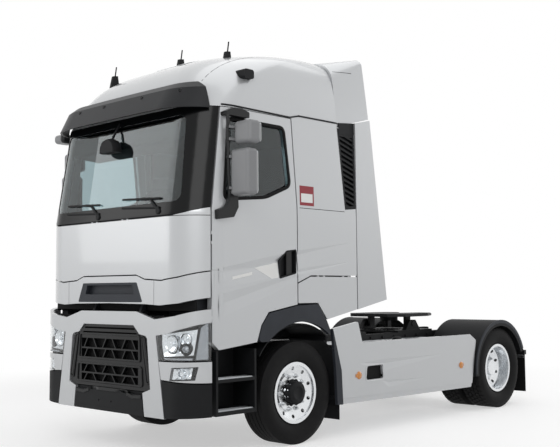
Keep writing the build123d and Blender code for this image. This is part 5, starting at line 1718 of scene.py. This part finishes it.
@dataclass
class Studio:
    """Floor, lights, background and the camera at the photograph's angle."""

    yaw: float = 43.668
    pitch: float = 4.223
    roll: float = -0.425
    place: tuple[float, float, float] = (6.6996, 7.3399, 1.5272)
    focal_px: float = 904.41
    width_px: float = 560.0
    sensor_mm: float = 36.0
    aim: tuple[float, float, float] = (0.4, 0.0, 1.6)
    ambient: float = 0.3
    floor_half: float = 40.0
    floor_fade: Flat = (4.5, 9.0)
    floor_glow: float = 0.5
    lights: tuple[tuple[str, tuple[float, float, float], float, float], ...] = (
        ("key", (9.0, 7.5, 7.0), 6.0, 330.0),
        ("fill", (9.5, -6.0, 5.0), 6.0, 150.0),
        ("top", (0.0, 1.0, 9.0), 7.0, 120.0),
        ("back", (-8.0, 3.0, 5.0), 5.0, 130.0),
    )

    def camera(self) -> None:
        """Stand the camera where the photograph was taken."""
        yaw, pitch, roll = (math.radians(a) for a in (self.yaw, self.pitch, self.roll))
        ahead = -Vector((math.cos(yaw) * math.cos(pitch), math.sin(yaw) * math.cos(pitch), -math.sin(pitch)))
        right = ahead.cross(Vector((0, 0, 1))).normalized()
        up = right.cross(ahead)
        c, s = math.cos(roll), math.sin(roll)
        axes = (right * c + up * s, up * c - right * s, -ahead)
        turn = Matrix(axes).transposed().to_4x4()
        lens = bpy.data.cameras.new("camera")
        lens.sensor_width = self.sensor_mm
        lens.lens = self.focal_px * self.sensor_mm / self.width_px
        lens.clip_end = 200.0
        stand = bpy.data.objects.new("camera", lens)
        stand.matrix_world = Matrix.Translation(Vector(self.place) + Vector((AXLE_MM / 1000, 0, 0))) @ turn
        bpy.context.scene.collection.objects.link(stand)
        bpy.context.scene.camera = stand

    def light(self, name: str, place: tuple[float, float, float], size: float, power: float) -> None:
        """Hang a square soft light that faces the vehicle.

        Args:
            name: The light's name.
            place: Where it hangs, in metres.
            size: Its width, in metres.
            power: Its power, in watts.
        """
        lamp = bpy.data.lights.new(name, "AREA")
        lamp.size = size
        lamp.energy = power
        made = bpy.data.objects.new(name, lamp)
        made.location = place
        made.rotation_euler = (Vector(self.aim) - Vector(place)).to_track_quat("-Z", "Y").to_euler()
        bpy.context.scene.collection.objects.link(made)

    def seen(self, tree: bpy.types.NodeTree) -> bpy.types.NodeSocket:
        """Tell the rays that show the surround from those that carry its diffuse light.

        Args:
            tree: The nodes that need it.

        Returns:
            A socket that is 1 for camera, glossy and transmission rays.
        """
        rays = add_node(tree, "ShaderNodeLightPath").outputs
        both = {0: rays["Is Camera Ray"], 1: rays["Is Glossy Ray"]}
        near = add_node(tree, "ShaderNodeMath", both, operation="MAXIMUM").outputs[0]
        both = {0: near, 1: rays["Is Transmission Ray"]}
        return add_node(tree, "ShaderNodeMath", both, operation="MAXIMUM").outputs[0]

    def world(self) -> None:
        """A white surround that the camera, gloss and glass see, softer for diffuse light."""
        world = bpy.data.worlds.new("surround")
        world.use_nodes = True
        tree = world.node_tree
        inputs = {"Value": self.seen(tree), "To Min": self.ambient, "To Max": 1.0}
        strength = add_node(tree, "ShaderNodeMapRange", inputs)
        back = tree.nodes["Background"]
        back.inputs["Color"].default_value = linear("#FFFFFF")
        tree.links.new(strength.outputs["Result"], back.inputs["Strength"])
        bpy.context.scene.world = world

    def floor(self) -> None:
        """A pale floor that fades into the surround."""
        mesh, reach = bpy.data.meshes.new("floor"), (-self.floor_half, self.floor_half)
        mesh.from_pydata([(x, y, 0) for x, y in oblong(reach, reach)], [], [(0, 1, 2, 3)])
        surface = bpy.data.materials.new("pale_floor")
        surface.use_nodes = True
        tree = surface.node_tree
        shader = tree.nodes["Principled BSDF"]
        shader.inputs["Base Color"].default_value = linear("#D2D2D2")
        shader.inputs["Roughness"].default_value = 0.7
        place = add_node(tree, "ShaderNodeTexCoord").outputs["Object"]
        away = add_node(tree, "ShaderNodeVectorMath", {0: place}, operation="LENGTH").outputs["Value"]
        inputs = {"Value": away, "From Min": self.floor_fade[0], "From Max": self.floor_fade[1]}
        fade = add_node(tree, "ShaderNodeMapRange", inputs, interpolation_type="SMOOTHSTEP")
        white = add_node(tree, "ShaderNodeEmission", {"Color": linear("#FFFFFF"), "Strength": 1.0})
        inputs = {"Value": self.seen(tree), "To Min": 0.0, "To Max": self.floor_glow}
        glow = add_node(tree, "ShaderNodeMapRange", inputs)
        tree.links.new(glow.outputs["Result"], shader.inputs["Emission Strength"])
        shader.inputs["Emission Color"].default_value = linear("#FFFFFF")
        inputs = {0: fade.outputs[0], 1: shader.outputs[0], 2: white.outputs[0]}
        mix = add_node(tree, "ShaderNodeMixShader", inputs)
        tree.links.new(mix.outputs[0], tree.nodes["Material Output"].inputs["Surface"])
        mesh.materials.append(surface)
        made = bpy.data.objects.new("floor", mesh)
        bpy.context.scene.collection.objects.link(made)

    def build(self) -> None:
        """Set up the whole studio."""
        bpy.context.scene.view_settings.view_transform = "Standard"
        self.camera()
        self.world()
        self.floor()
        for name, place, size, power in self.lights:
            self.light(name, place, size, power)


def main() -> None:
    """Build every sub-assembly in order and report its pieces."""
    logging.basicConfig(level=logging.INFO, format="%(name)s: %(message)s")
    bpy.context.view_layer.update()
    Studio().build()
    for group in (Chassis(), Wheels(), Bumper(), Cab(), Doors(), Interior()):
        group.build()
        group.dress()
        for made in group.pieces:
            log.info("%s has %s with %d faces", type(group).__name__, made.name, len(made.data.polygons))


if __name__ == "__main__":
    main()
